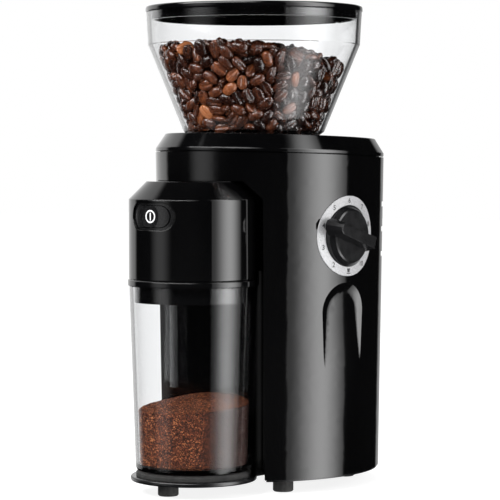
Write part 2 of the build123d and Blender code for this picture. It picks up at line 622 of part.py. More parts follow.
# ---- Grounds container --------------------------------------------------------------------
def container():
    """Clear tapered cup with a thick floor."""
    low, top = CONTAINER_LOW_Z, CONTAINER_TOP_Z
    floor = low + 2.4
    slope = (CONTAINER_TOP_RADIUS - CONTAINER_LOW_RADIUS) / (top - low)
    inner_low = CONTAINER_LOW_RADIUS + slope * (floor - low) - CONTAINER_WALL
    soft = 1.6
    profile = [
        (0, low + 0.6), (26, low + 0.6), (27, low), (CONTAINER_LOW_RADIUS - soft, low),
        (CONTAINER_LOW_RADIUS - 0.4, low + 0.5), (CONTAINER_LOW_RADIUS + slope * soft, low + soft),
        (CONTAINER_TOP_RADIUS, top), (CONTAINER_TOP_RADIUS - CONTAINER_WALL, top),
        (inner_low + slope * soft, floor + soft), (inner_low - 0.4, floor + 0.5),
        (inner_low - soft, floor), (0, floor),
    ]
    return turned(profile, y=COLUMN_Y)


def container_lid():
    """Black lid with a round feed hole, a rim and a skirt inside the cup."""
    skirt_outer = CONTAINER_TOP_RADIUS - CONTAINER_WALL - 0.7
    skirt_inner = skirt_outer - 1.8
    low = CONTAINER_TOP_Z + TOUCH
    profile = [
        (16, LID_TOP_Z - 0.8), (16.8, LID_TOP_Z), (LID_RIM_RADIUS - 0.6, LID_TOP_Z),
        (LID_RIM_RADIUS, LID_TOP_Z - 0.6), (LID_RIM_RADIUS, low + 0.3), (LID_RIM_RADIUS - 0.3, low),
        (skirt_outer, low), (skirt_outer, SKIRT_LOW_Z), (skirt_inner, SKIRT_LOW_Z),
        (skirt_inner, LID_TOP_Z - 2.2), (16, LID_TOP_Z - 2.2),
    ]
    return turned(profile, y=COLUMN_Y)


# ---- Grinding chamber and burrs -----------------------------------------------------------
def key_block(radius, slack, z_low, z_high):
    """Three upright keys at equal angles, as one shape."""
    keys = [Rot(0, 0, 30 + 120 * i) * block(CHAMBER_RADIUS - 2, radius, -KEY_HALF_WIDTH - slack,
                                            KEY_HALF_WIDTH + slack, z_low, z_high)
            for i in range(3)]
    return keys[0] + keys[1] + keys[2]


def grinding_chamber():
    """Bowl that holds the burrs, with a bearing hub below and a port to the chute."""
    outer = CHAMBER_RADIUS + CHAMBER_WALL
    low = CHAMBER_FLOOR_Z - CHAMBER_SKIN
    bowl = rod(outer, low, CHAMBER_TOP_Z) + rod(FLANGE_RADIUS, CHAMBER_TOP_Z - 2.2, CHAMBER_TOP_Z)
    bowl += rod(HUB_RADIUS, HUB_LOW_Z, low + 0.5) + rod(14.0, HUB_LOW_Z, HUB_LOW_Z + 2.2)
    for x, y in EARS:
        arm = Rot(0, 0, 45 if x * y > 0 else -45) * block(
            -EAR_OFFSET * 1.42, EAR_OFFSET * 1.42, -4, 4, CHAMBER_TOP_Z - 2.2, CHAMBER_TOP_Z)
        bowl += arm + rod(5.0, CHAMBER_TOP_Z - 2.2, CHAMBER_TOP_Z, x, y)
    bowl -= rod(CHAMBER_RADIUS, CHAMBER_FLOOR_Z, CHAMBER_TOP_Z + 1)
    bowl -= rod(BEARING_RADIUS + 0.02, HUB_LOW_Z + 2.0, CHAMBER_FLOOR_Z - 5)
    bowl -= rod(SHAFT_RADIUS + 0.4, 150, 200)
    bowl -= key_block(CHAMBER_RADIUS + 1.9, 0.3, CHAMBER_FLOOR_Z + 3, CHAMBER_TOP_Z + 1)
    bowl -= block(-PORT_HALF_WIDTH, PORT_HALF_WIDTH, -40, -25, PORT_LOW_Z, PORT_HIGH_Z)
    for x, y in EARS:
        bowl -= rod(1.7, 170, 200, x, y)
    return bowl


def chamber_screws():
    return [pan_screw(x, y, CHAMBER_TOP_Z - 2.2 - TOUCH, 9) for x, y in EARS]


def grounds_chute():
    """Square duct from the chamber's port, forward and down to the container."""
    duct = block(-CHUTE_HALF_X, CHUTE_HALF_X, CHUTE_Y - CHUTE_HALF_Y, CHUTE_Y + CHUTE_HALF_Y,
                 COLUMN_BOTTOM_Z + 2.3, CHUTE_TOP_Z)
    duct += block(-CHUTE_HALF_X, CHUTE_HALF_X, CHUTE_Y, -25, PORT_LOW_Z - CHUTE_WALL,
                  CHAMBER_TOP_Z - 2.3)
    inner_x, inner_y = CHUTE_HALF_X - CHUTE_WALL, CHUTE_HALF_Y - CHUTE_WALL
    duct -= block(-inner_x, inner_x, CHUTE_Y - inner_y, CHUTE_Y + inner_y, 100, PORT_HIGH_Z)
    duct -= block(-inner_x, inner_x, CHUTE_Y, -20, PORT_LOW_Z, PORT_HIGH_Z - 1.0)
    duct -= rod(CHAMBER_RADIUS + CHAMBER_WALL + TOUCH, 150, 200)
    duct -= rod(FLANGE_RADIUS + TOUCH, CHAMBER_TOP_Z - 2.25, 200)
    return duct


def adjust_ring():
    """Grind setting ring that the hopper turns, with finger notches for the hopper's dogs."""
    ring = tube(RING_OUTER, RING_INNER, RING_LOW_Z, RING_TOP_Z)
    for i in range(36):
        ring -= Rot(0, 0, 10 * i) * block(RING_OUTER - 1.2, RING_OUTER + 1, -1, 1, RING_LOW_Z + 2,
                                          RING_TOP_Z + 1)
    for i in range(4):
        ring -= Rot(0, 0, 45 + 90 * i) * block(34, 37.5, -4, 4, RING_TOP_Z - 3, RING_TOP_Z + 1)
    return ring


def burr_carrier():
    """Holder of the upper burr, keyed in the chamber so that it only rises and falls."""
    carrier = tube(CARRIER_RADIUS, UPPER_BURR_RADIUS + 0.05, CARRIER_LOW_Z, CARRIER_TOP_Z)
    carrier += tube(UPPER_BURR_RADIUS + 1, 21.0, UPPER_BURR_TOP_Z + TOUCH, CARRIER_TOP_Z)
    keys = key_block(CHAMBER_RADIUS + 1.5, 0.0, CARRIER_LOW_Z + 1, CHAMBER_TOP_Z - 0.9)
    return carrier + (keys - rod(CARRIER_RADIUS - 1, 150, 250))


def burr_slope():
    return (LOWER_BURR_RADIUS - LOWER_BURR_TOP_RADIUS) / (LOWER_BURR_TOP_Z - LOWER_BURR_LOW_Z)


def upper_burr():
    """Steel ring burr with slanting grooves inside."""
    low, top = UPPER_BURR_LOW_Z, UPPER_BURR_TOP_Z
    radius_low = LOWER_BURR_RADIUS - burr_slope() * (low - LOWER_BURR_LOW_Z) + BURR_GAP
    radius_top = LOWER_BURR_RADIUS - burr_slope() * (top - LOWER_BURR_LOW_Z) + BURR_GAP + 2.4
    burr = turned([(radius_low, low), (UPPER_BURR_RADIUS, low), (UPPER_BURR_RADIUS, top),
                   (radius_top, top)])
    groove = Pos((radius_low + radius_top) / 2 + 0.6, 0, (low + top) / 2) * Rot(
        12, -38, 0) * Box(1.6, 0.7, 20)
    for i in range(30):
        burr -= Rot(0, 0, 12 * i) * groove
    return burr


def lower_burr():
    """Steel cone burr with coarse flutes above fine teeth."""
    low, top = LOWER_BURR_LOW_Z, LOWER_BURR_TOP_Z
    burr = turned([(SHAFT_RADIUS + 0.02, low), (LOWER_BURR_RADIUS, low), (LOWER_BURR_RADIUS, low + 1),
                   (LOWER_BURR_TOP_RADIUS, top), (SHAFT_RADIUS + 0.02, top)])
    lean = 41.5
    middle = (LOWER_BURR_RADIUS + LOWER_BURR_TOP_RADIUS) / 2
    coarse = Pos(middle - 2.2, 0, (low + top) / 2 + 2.5) * Rot(22, -lean, 0) * Box(2.4, 2.2, 13)
    fine = Pos(LOWER_BURR_RADIUS - 1.3, 0, low + 2.6) * Rot(14, -lean, 0) * Box(1.0, 0.7, 9)
    for i in range(8):
        burr -= Rot(0, 0, 45 * i) * coarse
    for i in range(40):
        burr -= Rot(0, 0, 9 * i) * fine
    return burr


def sweeper():
    """Disc with three paddles that push the grounds round to the port."""
    low = SWEEPER_LOW_Z
    disc = rod(SWEEPER_RADIUS, low, low + 1.4) + rod(9.0, low, LOWER_BURR_LOW_Z - TOUCH)
    for i in range(3):
        disc += Rot(0, 0, 120 * i) * block(21.5, SWEEPER_RADIUS - 0.4, -1.2, 1.2, low, 183.3)
    return disc - rod(SHAFT_RADIUS + 0.02, 150, 200)


def burr_shaft():
    """Steel spindle that carries the output gear, the sweeper and the lower burr."""
    shaft = rod(SHAFT_RADIUS, BOX_PLATE_Z - 1.8, LOWER_BURR_TOP_Z - 1)
    return shaft - rod(2.0, LOWER_BURR_TOP_Z - 13, LOWER_BURR_TOP_Z + 1)


def burr_bolt():
    """Hexagon bolt that clamps the lower burr to its shaft."""
    head = Pos(0, 0, LOWER_BURR_TOP_Z + TOUCH) * extrude(RegularPolygon(5.2, 6), 3.0)
    washer_top = LOWER_BURR_TOP_Z + TOUCH
    return head + rod(1.95, LOWER_BURR_TOP_Z - 12, washer_top + 1)


def burr_bearing():
    """Ball bearing in the chamber's hub: two races and eight balls."""
    low, high = HUB_LOW_Z + 2.4, HUB_LOW_Z + 9.4
    middle = (low + high) / 2
    pitch, ball = 6.1, 1.25
    track = Pos(0, 0, middle) * Torus(pitch, ball + 0.05)
    inner = tube(5.2, SHAFT_RADIUS + RUN, low, high) - track
    outer = tube(BEARING_RADIUS, 7.0, low, high) - track
    balls = [Rot(0, 0, 45 * i) * Pos(pitch, 0, middle) * Sphere(ball) for i in range(8)]
    return [inner, outer] + balls


# ---- Gears --------------------------------------------------------------------------------
def gear_face(teeth, module, phase):
    """Involute spur gear outline; phase is the angle of one tooth's middle."""
    pitch = teeth * module / 2
    base = pitch * cos(PRESSURE_ANGLE)
    tip = pitch + 0.92 * module
    root = pitch - 1.2 * module
    start = max(base, root)
    half = pi / (2 * teeth) - BACKLASH / (2 * pitch)
    pitch_roll = tan(PRESSURE_ANGLE) - PRESSURE_ANGLE

    def half_angle(radius):
        pressure = acos(min(1.0, base / radius))
        return half + pitch_roll - (tan(pressure) - pressure)

    flank = [start + (tip - start) * step / 4 for step in range(5)]
    points = []
    for tooth in range(teeth):
        middle = radians(phase) + 2 * pi * tooth / teeth
        rim = [(root, -half_angle(start))] if root < start else []
        rim += [(radius, -half_angle(radius)) for radius in flank]
        for radius, angle in rim + [(radius, -angle) for radius, angle in reversed(rim)]:
            points.append((radius * cos(middle + angle), radius * sin(middle + angle)))
    return make_face(Polyline(*points, close=True))


def spur_gear(teeth, module, phase, z_low, z_high, y, bore):
    gear = Pos(0, y, z_low) * extrude(gear_face(teeth, module, phase), z_high - z_low)
    return gear - rod(bore, z_low - 1, z_high + 1, y=y)


def output_gear():
    """Wheel on the burr shaft, with a raised hub and lightening holes."""
    gear = spur_gear(OUTPUT_TEETH, MODULE_SLOW, 90, OUTPUT_LOW_Z, OUTPUT_TOP_Z, 0, SHAFT_RADIUS + 0.02)
    for i in range(6):
        gear -= rod(2.4, 140, 160, 10.6 * cos(pi * i / 3), 10.6 * sin(pi * i / 3))
    return gear


def intermediate_gear():
    """Compound gear: a large wheel with the small pinion above it."""
    wheel = spur_gear(WHEEL_TEETH, MODULE_FAST, 90, WHEEL_LOW_Z, WHEEL_TOP_Z, AXIS_B, 3.02)
    for i in range(6):
        wheel -= rod(4.2, 120, 140, 13.8 * cos(pi * i / 3), AXIS_B + 13.8 * sin(pi * i / 3))
    pinion = spur_gear(SMALL_PINION_TEETH, MODULE_SLOW, 270 + 180 / SMALL_PINION_TEETH,
                       WHEEL_TOP_Z - 0.5, OUTPUT_TOP_Z + 1, AXIS_B, 3.02)
    return wheel + pinion


def intermediate_axle():
    return rod(3.0, BOX_LOW_Z + 0.6, BOX_TOP_Z - 0.8, y=AXIS_B)


def motor_pinion():
    return spur_gear(MOTOR_PINION_TEETH, MODULE_FAST, 270 + 180 / MOTOR_PINION_TEETH,
                     WHEEL_LOW_Z - 1, WHEEL_TOP_Z + 1, AXIS_C, MOTOR_SHAFT_RADIUS + 0.02)


def lower_plan(radius_b, radius_c, z_low, z_high):
    """Rounded pear shape round the intermediate and motor axes."""
    form = rod(radius_b, z_low, z_high, y=AXIS_B) + rod(radius_c, z_low, z_high, y=AXIS_C)
    return form + block(-radius_c, radius_c, AXIS_B, AXIS_C, z_low, z_high)


def gearbox_ears(z_low, z_high):
    form = rod(4.2, z_low, z_high, *BOX_EARS[0])
    for x, y in BOX_EARS[1:]:
        form += rod(4.2, z_low, z_high, x, y)
    return form + block(-14, 14, AXIS_C, AXIS_C + 6, z_low, z_high)


def ear_holes(radius):
    holes = rod(radius, 100, 160, *BOX_EARS[0])
    for x, y in BOX_EARS[1:]:
        holes += rod(radius, 100, 160, x, y)
    return holes


def gearbox_lower():
    """Cup round the large wheel and the motor's pinion."""
    cup = lower_plan(27.0, 11.0, BOX_LOW_Z, BOX_PLATE_Z) + gearbox_ears(BOX_PLATE_Z - 6, BOX_PLATE_Z)
    cup -= lower_plan(25.0, 9.0, BOX_LOW_Z + BOX_WALL, BOX_PLATE_Z + 1)
    cup += rod(7.6, BOX_LOW_Z, BOX_LOW_Z + 4, y=AXIS_B)
    cup -= rod(BUSH_RADIUS, BOX_LOW_Z + 0.5, 140, y=AXIS_B)
    cup -= rod(8.4, BOX_PLATE_Z - 2.8, BOX_PLATE_Z + 1)
    return cup - rod(4.0, 110, 130, y=AXIS_C) - ear_holes(1.5)


def gearbox_plate():
    """Plate between the two gear stages, with the burr shaft's lower bearing seat."""
    low, high = BOX_PLATE_Z + TOUCH, BOX_COVER_Z
    plate = lower_plan(27.0, 11.0, low, high) + rod(21.0, low, high) + gearbox_ears(low, high)
    plate += rod(8.2, BOX_PLATE_Z - 2.6, high)
    plate -= rod(BUSH_RADIUS, BOX_PLATE_Z - 2.2, 150)
    plate -= rod(9.2, 130, 150, y=AXIS_B) - rod(8.4, 100, 200)
    return plate - ear_holes(1.7)


def gearbox_upper():
    """Cover over the output gear."""
    low = BOX_COVER_Z + TOUCH
    cover = rod(21.0, low, BOX_TOP_Z) + rod(12.0, low, BOX_TOP_Z, y=AXIS_B)
    cover += block(-12, 12, 0, AXIS_B, low, BOX_TOP_Z)
    cover -= rod(19.2, low - 1, BOX_TOP_Z - 2.5) + rod(10.2, low - 1, BOX_TOP_Z - 2.5, y=AXIS_B)
    cover -= block(-10.2, 10.2, 0, AXIS_B, low - 1, BOX_TOP_Z - 2.5)
    cover += rod(7.6, BOX_TOP_Z - 5, BOX_TOP_Z, y=AXIS_B)
    cover -= rod(BUSH_RADIUS, 150, BOX_TOP_Z - 0.6, y=AXIS_B)
    return cover - rod(SHAFT_RADIUS + 0.6, 150, 170)


def gearbox_screws():
    return [pan_screw(x, y, BOX_PLATE_Z - 6 - TOUCH, 8) for x, y in BOX_EARS]


def shaft_bushes():
    """Bronze bushes of the burr shaft, the intermediate axle and the motor shaft."""
    fit = 0.03
    return [
        tube(BUSH_RADIUS - fit, SHAFT_RADIUS + RUN, BOX_PLATE_Z - 1.9, BOX_COVER_Z),
        tube(BUSH_RADIUS - fit, 3.0 + RUN, BOX_LOW_Z + 0.6, BOX_LOW_Z + 4, y=AXIS_B),
        tube(BUSH_RADIUS - fit, 3.0 + RUN, BOX_TOP_Z - 5, BOX_TOP_Z - 0.7, y=AXIS_B),
        tube(5.5, MOTOR_SHAFT_RADIUS + RUN, MOTOR_LOW_Z + 1.7, MOTOR_LOW_Z + 6, y=AXIS_C),
        tube(5.5, MOTOR_SHAFT_RADIUS + RUN, MOTOR_TOP_Z + 0.2, CAP_TOP_Z - 0.8, y=AXIS_C),
    ]


# ---- Motor --------------------------------------------------------------------------------
def motor_can():
    """Drawn steel can with cooling windows round its lower end."""
    can = rod(MOTOR_RADIUS, MOTOR_LOW_Z, MOTOR_TOP_Z, y=AXIS_C)
    can -= rod(MOTOR_RADIUS - 1.5, MOTOR_LOW_Z + 1.5, MOTOR_TOP_Z + 1, y=AXIS_C)
    can += tube(7.0, 5.55, MOTOR_LOW_Z, MOTOR_LOW_Z + 6, y=AXIS_C)
    can -= rod(MOTOR_SHAFT_RADIUS + 0.6, 40, 80, y=AXIS_C)
    for i in range(6):
        window = block(10, 20, -3, 3, MOTOR_LOW_Z - 1, MOTOR_LOW_Z + 3)
        can -= Pos(0, AXIS_C, 0) * Rot(0, 0, 60 * i) * window
    return can


def motor_magnets():
    """Two curved magnets against the can's inside."""
    ring = tube(MOTOR_RADIUS - 1.55, ROTOR_RADIUS + 0.8, 70, 108, y=AXIS_C)
    keep = [block(7 * side if side > 0 else -60, 60 if side > 0 else -7, 0, 110, 60, 120)
            for side in (-1, 1)]
    return [ring & part for part in keep]


def motor_end_cap():
    """Moulded cap over the brush end, screwed under the gearbox."""
    low = MOTOR_TOP_Z + TOUCH
    cap = rod(MOTOR_RADIUS, low, low + 2.4, y=AXIS_C) + rod(10.5, low, CAP_TOP_Z, y=AXIS_C)
    cap -= rod(5.55, low - 1, CAP_TOP_Z - 0.7, y=AXIS_C)
    for i in range(6):
        cap -= Pos(0, AXIS_C, 0) * Rot(0, 0, 30 + 60 * i) * block(13, 22, -2.5, 2.5, 110, 125)
    return cap - rod(MOTOR_SHAFT_RADIUS + 0.6, 100, 140, y=AXIS_C)


def motor_brushes():
    """Two carbon brushes in brass holders, one each side of the commutator."""
    parts = []
    for side in (-1, 1):
        holder = block(11, 22, -3.4, 3.4, 108.6, 115.4) - block(10, 23, -2.4, 2.4, 109.6, 114.4)
        brush = block(8.4, 19, -2.3, 2.3, 109.7, 114.3)
        turn = Pos(0, AXIS_C, 0) * Rot(0, 0, 90 - 90 * side)
        parts += [turn * holder, turn * brush]
    return parts


def motor_rotor():
    """Slotted armature with its copper windings showing at both ends."""
    core = rod(ROTOR_RADIUS, 72, 104, y=AXIS_C)
    for i in range(12):
        core -= Pos(0, AXIS_C, 0) * Rot(0, 0, 30 * i) * block(9.5, 19, -1, 1, 70, 106)
    windings = rod(15.0, 67, 72.0, y=AXIS_C) + rod(14.0, 104, 107, y=AXIS_C)
    return core + windings - rod(MOTOR_SHAFT_RADIUS + 0.02, 50, 120, y=AXIS_C)


def commutator():
    """Copper segments that the brushes run on."""
    body = rod(8.0, 108.4, 115.6, y=AXIS_C)
    for i in range(12):
        body -= Pos(0, AXIS_C, 0) * Rot(0, 0, 30 * i) * block(6.6, 9, -0.3, 0.3, 100, 120)
    return body - rod(MOTOR_SHAFT_RADIUS + 0.02, 100, 120, y=AXIS_C)


def motor_shaft():
    return rod(MOTOR_SHAFT_RADIUS, 40, WHEEL_TOP_Z + 2, y=AXIS_C)


def motor_fan():
    """Radial fan under the motor that draws air through the rear vents."""
    low = 41.0
    fan = rod(24.0, low, low + 1.6, y=AXIS_C) + rod(6.0, low, low + 10, y=AXIS_C)
    for i in range(9):
        fan += Pos(0, AXIS_C, 0) * Rot(0, 0, 40 * i) * block(5.5, 23.5, -0.7, 0.7, low, low + 10)
    return fan - rod(MOTOR_SHAFT_RADIUS + 0.02, 30, 60, y=AXIS_C)


def motor_cradle():
    """Ring on three legs that steadies the motor over the base."""
    ring = tube(29.0, MOTOR_RADIUS + 0.1, 60, 68, y=AXIS_C)
    for angle in (30, 150, 270):
        x, y = 29.0 * cos(radians(angle)), AXIS_C + 29.0 * sin(radians(angle))
        ring += rod(2.8, BASE_TOP_Z + TOUCH, 68, x, y) + rod(4.4, BASE_TOP_Z + TOUCH, 12.5, x, y)
    return ring - rod(MOTOR_RADIUS + 0.1, 50, 80, y=AXIS_C)


# ---- Interlock switches -------------------------------------------------------------------
def micro_switch():
    """Small snap switch with a lever, its body 20 x 6.4 x 10."""
    case = Box(20, 6.4, 10)
    lever = Pos(0, 0, 6.4) * Rot(0, -4, 0) * Box(18, 4, 0.5) + Pos(-8.5, 0, 5.5) * Box(1.2, 4, 2.4)
    pins = [Pos(x, 0, -6.5) * Box(0.6, 3, 4) for x in (-8, 0, 8)]
    return case + lever + pins


def hopper_switch():
    """Senses the hopper through the setting ring, behind the chamber."""
    return Pos(0, 46.0, 177.0) * micro_switch()


def container_switch():
    """Senses the container through the column's floor."""
    return Pos(0, -73.0, COLUMN_BOTTOM_Z + 11.5) * Rot(180, 0, 0) * micro_switch()


# ---- Export -------------------------------------------------------------------------------
PARTS = {
    "body_shell": body_shell,
    "top_cover": top_cover,
    "front_housing": front_housing,
    "front_housing_floor": front_housing_floor,
    "button_bezel": button_bezel,
    "base_cover": base_cover,
    "container_pad": container_pad,
    "cord_grommet": cord_grommet,
    "base_screws": base_screws,
    "power_button": power_button,
    "power_switch": power_switch,
    "button_spring": button_spring,
    "dial_ring": dial_ring,
    "knob": knob,
    "knob_shaft": knob_shaft,
    "selector_switch": selector_switch,
    "control_board": control_board,
    "board_components": board_components,
    "hopper": hopper,
    "hopper_lid": hopper_lid,
    "container": container,
    "container_lid": container_lid,
    "grinding_chamber": grinding_chamber,
    "chamber_screws": chamber_screws,
    "grounds_chute": grounds_chute,
    "adjust_ring": adjust_ring,
    "burr_carrier": burr_carrier,
    "upper_burr": upper_burr,
    "lower_burr": lower_burr,
    "sweeper": sweeper,
    "burr_shaft": burr_shaft,
    "burr_bolt": burr_bolt,
    "burr_bearing": burr_bearing,
    "output_gear": output_gear,
    "intermediate_gear": intermediate_gear,
    "intermediate_axle": intermediate_axle,
    "motor_pinion": motor_pinion,
    "gearbox_lower": gearbox_lower,
    "gearbox_plate": gearbox_plate,
    "gearbox_upper": gearbox_upper,
    "gearbox_screws": gearbox_screws,
    "shaft_bushes": shaft_bushes,
    "motor_can": motor_can,
    "motor_magnets": motor_magnets,
    "motor_end_cap": motor_end_cap,
    "motor_brushes": motor_brushes,
    "motor_rotor": motor_rotor,
    "commutator": commutator,
    "motor_shaft": motor_shaft,
    "motor_fan": motor_fan,
    "motor_cradle": motor_cradle,
    "hopper_switch": hopper_switch,
    "container_switch": container_switch,
}

os.makedirs("parts", exist_ok=True)


def save(name, shape):
    """Move the part into the row's frame and write it."""
    pieces = shape if isinstance(shape, list) else [shape]
    placed = [PLACE * solid for piece in pieces for solid in piece.solids()]
    export_step(placed[0] if len(placed) == 1 else Compound(placed), f"parts/{name}.step")


for node, make in PARTS.items():
    save(node, make())
for node, (foot_x, foot_y) in FEET.items():
    save(node, foot(foot_x, foot_y))
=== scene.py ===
import json
import math
from functools import partial

import bpy
import numpy as np
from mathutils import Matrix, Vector
from mathutils.bvhtree import BVHTree


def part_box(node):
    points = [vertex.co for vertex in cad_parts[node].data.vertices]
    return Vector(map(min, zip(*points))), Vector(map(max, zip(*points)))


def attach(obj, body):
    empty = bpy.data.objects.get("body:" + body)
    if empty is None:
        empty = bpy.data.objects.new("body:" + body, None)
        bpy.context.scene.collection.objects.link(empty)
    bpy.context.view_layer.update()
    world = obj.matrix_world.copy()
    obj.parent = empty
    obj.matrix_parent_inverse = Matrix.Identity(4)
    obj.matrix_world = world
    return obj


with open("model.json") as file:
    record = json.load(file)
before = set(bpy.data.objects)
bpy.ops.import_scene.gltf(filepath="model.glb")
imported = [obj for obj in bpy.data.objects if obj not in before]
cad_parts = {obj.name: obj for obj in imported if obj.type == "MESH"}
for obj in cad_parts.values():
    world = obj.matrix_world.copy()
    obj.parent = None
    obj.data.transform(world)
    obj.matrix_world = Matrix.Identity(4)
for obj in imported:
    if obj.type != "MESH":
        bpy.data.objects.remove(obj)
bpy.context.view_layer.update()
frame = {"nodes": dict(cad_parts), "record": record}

# Burr coffee grinder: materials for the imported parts, the beans and the ground coffee, the dial's
# numerals and the power symbol, seen in a white studio. Lengths are in metres, and a length times
# MM is given in millimetres. Z is up, the front is at -Y and the knob's side at +X.
MM = 0.001
NODES = frame["nodes"]


def middle(node):
    """Centre of a CAD node's box."""
    low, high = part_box(node)
    return (low + high) / 2


GRIND_AXIS = middle("hopper")
CUP_AXIS = middle("container")
KNOB_AXIS = middle("dial_ring")

# ---- Camera -------------------------------------------------------------------------------
CAMERA_AZIMUTH = math.radians(40.5)     # from the front towards the knob's side
CAMERA_DISTANCE = 1.332                 # level distance from the hopper's axis
CAMERA_HEIGHT = 0.194
CAMERA_LENS = 165.6                     # focal length in millimetres
CAMERA_CLIP = (0.05, 20)
AIM_HEIGHT = 0.1346
AIM_SIDE = -0.0023                      # to the camera's right of the hopper's axis
TO_CAMERA = Vector((math.sin(CAMERA_AZIMUTH), -math.cos(CAMERA_AZIMUTH), 0))
TO_RIGHT = Vector((math.cos(CAMERA_AZIMUTH), math.sin(CAMERA_AZIMUTH), 0))


def make_camera():
    data = bpy.data.cameras.new("camera")
    data.lens = CAMERA_LENS
    data.clip_start, data.clip_end = CAMERA_CLIP
    camera = bpy.data.objects.new("camera", data)
    bpy.context.scene.collection.objects.link(camera)
    aim = GRIND_AXIS + TO_RIGHT * AIM_SIDE
    aim.z = AIM_HEIGHT
    camera.location = GRIND_AXIS + TO_CAMERA * CAMERA_DISTANCE
    camera.location.z = CAMERA_HEIGHT
    camera.rotation_euler = (aim - camera.location).to_track_quat("-Z", "Y").to_euler()
    bpy.context.scene.camera = camera


# ---- Shader nodes -------------------------------------------------------------------------
def add_node(owner, kind, inputs=(), **settings):
    """Node in a material's or the world's tree; inputs pairs each key with a value or a socket."""
    tree = owner.node_tree
    node = tree.nodes.new(kind)
    for key, value in settings.items():
        setattr(node, key, value)
    for key, value in inputs:
        if isinstance(value, bpy.types.NodeSocket):
            tree.links.new(value, node.inputs[key])
        else:
            node.inputs[key].default_value = value
    return node


def maths(owner, operation, *values):
    """Result of a calculation on values or sockets."""
    return add_node(owner, "ShaderNodeMath", enumerate(values), operation=operation).outputs[0]


# ---- Studio -------------------------------------------------------------------------------
# Softboxes that only reflections see. The angles are in degrees: the span to the camera's right as
# seen from the object, the width of the soft edge at its start and end, and the rise of its lower
# and upper edge.
SOFTBOXES = {
    "right": {"span": (33, 94), "soft": (2, 2), "rise": (-47, 56), "strength": 0.75},
    "right_core": {"span": (36, 96), "soft": (32, 28), "rise": (-47, 56), "strength": 5.9},
    "left": {"span": (-84, -36), "soft": (22, 22), "rise": (-14, 14), "strength": 0.9},
    "left_high": {"span": (-95, 15), "soft": (8, 30), "rise": (23, 48), "strength": 8.5},
    "left_rear": {"span": (-186, -118), "soft": (4, 10), "rise": (-14, 60), "strength": 1.1},
    "right_rear": {"span": (150, 180), "soft": (8, 8), "rise": (-14, 60), "strength": 0.5},
}
FADE_BELOW, FADE_ABOVE = 2, 6   # degrees that the lower and upper edges fade to either side
REFLECTED_DARK = 0.006          # what reflections see between the softboxes
BACKDROP = 1.0                  # what the eye sees
AMBIENT = 0.55                  # what lights matt surfaces
THROUGH_CLEAR = 0.3             # share of the softboxes left in reflections inside clear walls
# A ray's depths are whole numbers, so these mean at least one surface and at most three.
ONE_OR_MORE, THREE_OR_LESS = 0.5, 3.5
# Soft round lamps: metres to the camera's right, towards the camera and above the floor, the
# lamp's width, its power in watts and the height it aims at.
LAMPS = (
    {"name": "key", "right": -0.75, "toward": 0.75, "height": 0.95, "size": 0.5, "power": 14,
     "aim_height": 0.16},
    {"name": "side", "right": 0.95, "toward": 0.35, "height": 0.55, "size": 0.5, "power": 3,
     "aim_height": 0.16},
    {"name": "back", "right": -0.3, "toward": -0.9, "height": 0.9, "size": 0.6, "power": 6,
     "aim_height": 0.2},
)
FLOOR_REACH, FLOOR_DROP = 4.0, 0.4 * MM     # half its width, and how far it lies below the feet
FLOOR_TONE, FLOOR_GLOW = 0.35, 0.86


def softbox(world, azimuth, elevation, span, soft, rise, strength):
    """What a reflection sees of one softbox."""
    calc = partial(maths, world)

    def step(value, low, high):
        return add_node(world, "ShaderNodeMapRange", [
            ("Value", value), ("From Min", low), ("From Max", high)],
            interpolation_type="SMOOTHSTEP").outputs["Result"]

    (start, end), (soft_start, soft_end), (lower, upper) = span, soft, rise
    centre = (start + end) / 2
    low, high = start - centre, end - centre
    turned = calc("WRAP", calc("SUBTRACT", azimuth, centre), 180.0, -180.0)
    wide = calc("MULTIPLY", step(turned, low, low + soft_start),
                calc("SUBTRACT", 1.0, step(turned, high - soft_end, high)))
    tall = calc("MULTIPLY", step(elevation, lower - FADE_BELOW, lower + FADE_BELOW),
                calc("SUBTRACT", 1.0, step(elevation, upper - FADE_ABOVE, upper + FADE_ABOVE)))
    return calc("MULTIPLY", calc("MULTIPLY", wide, tall), strength)


def make_world():
    """White backdrop for the eye, even ambient light, and softboxes for reflections."""
    world = bpy.data.worlds.new("studio")
    bpy.context.scene.world = world
    world.use_nodes = True
    world.cycles.sampling_method = "NONE"
    world.node_tree.nodes.clear()
    calc = partial(maths, world)
    direction = add_node(world, "ShaderNodeTexCoord").outputs["Generated"]

    def along(axis):
        return add_node(world, "ShaderNodeVectorMath", [(0, direction), (1, axis)],
                        operation="DOT_PRODUCT").outputs["Value"]

    azimuth = calc("DEGREES", calc("ARCTAN2", along(TO_RIGHT), along(TO_CAMERA)))
    elevation = calc("DEGREES", calc("ARCSINE", along((0, 0, 1))))
    reflected = REFLECTED_DARK
    for box in SOFTBOXES.values():
        reflected = calc("ADD", reflected, softbox(world, azimuth, elevation, **box))
    rays = add_node(world, "ShaderNodeLightPath").outputs
    walls = rays["Transmission Depth"]
    inside_wall = calc("MULTIPLY", calc("GREATER_THAN", walls, ONE_OR_MORE),
                       calc("LESS_THAN", walls, THREE_OR_LESS))
    dimming = calc("ADD", 1.0, calc("MULTIPLY", inside_wall, THROUGH_CLEAR - 1))
    reflected = calc("MULTIPLY", reflected, dimming)
    diffuse = rays["Is Diffuse Ray"]
    seen = calc("ADD", BACKDROP, calc("MULTIPLY", diffuse, AMBIENT - BACKDROP))
    mirrored = calc("MULTIPLY", calc("GREATER_THAN", rays["Glossy Depth"], ONE_OR_MORE),
                    calc("SUBTRACT", 1.0, diffuse))
    strength = calc("ADD", calc("MULTIPLY", mirrored, reflected),
                    calc("MULTIPLY", calc("SUBTRACT", 1.0, mirrored), seen))
    background = add_node(world, "ShaderNodeBackground", [
        ("Color", (1, 1, 1, 1)), ("Strength", strength)])
    add_node(world, "ShaderNodeOutputWorld", [("Surface", background.outputs[0])])


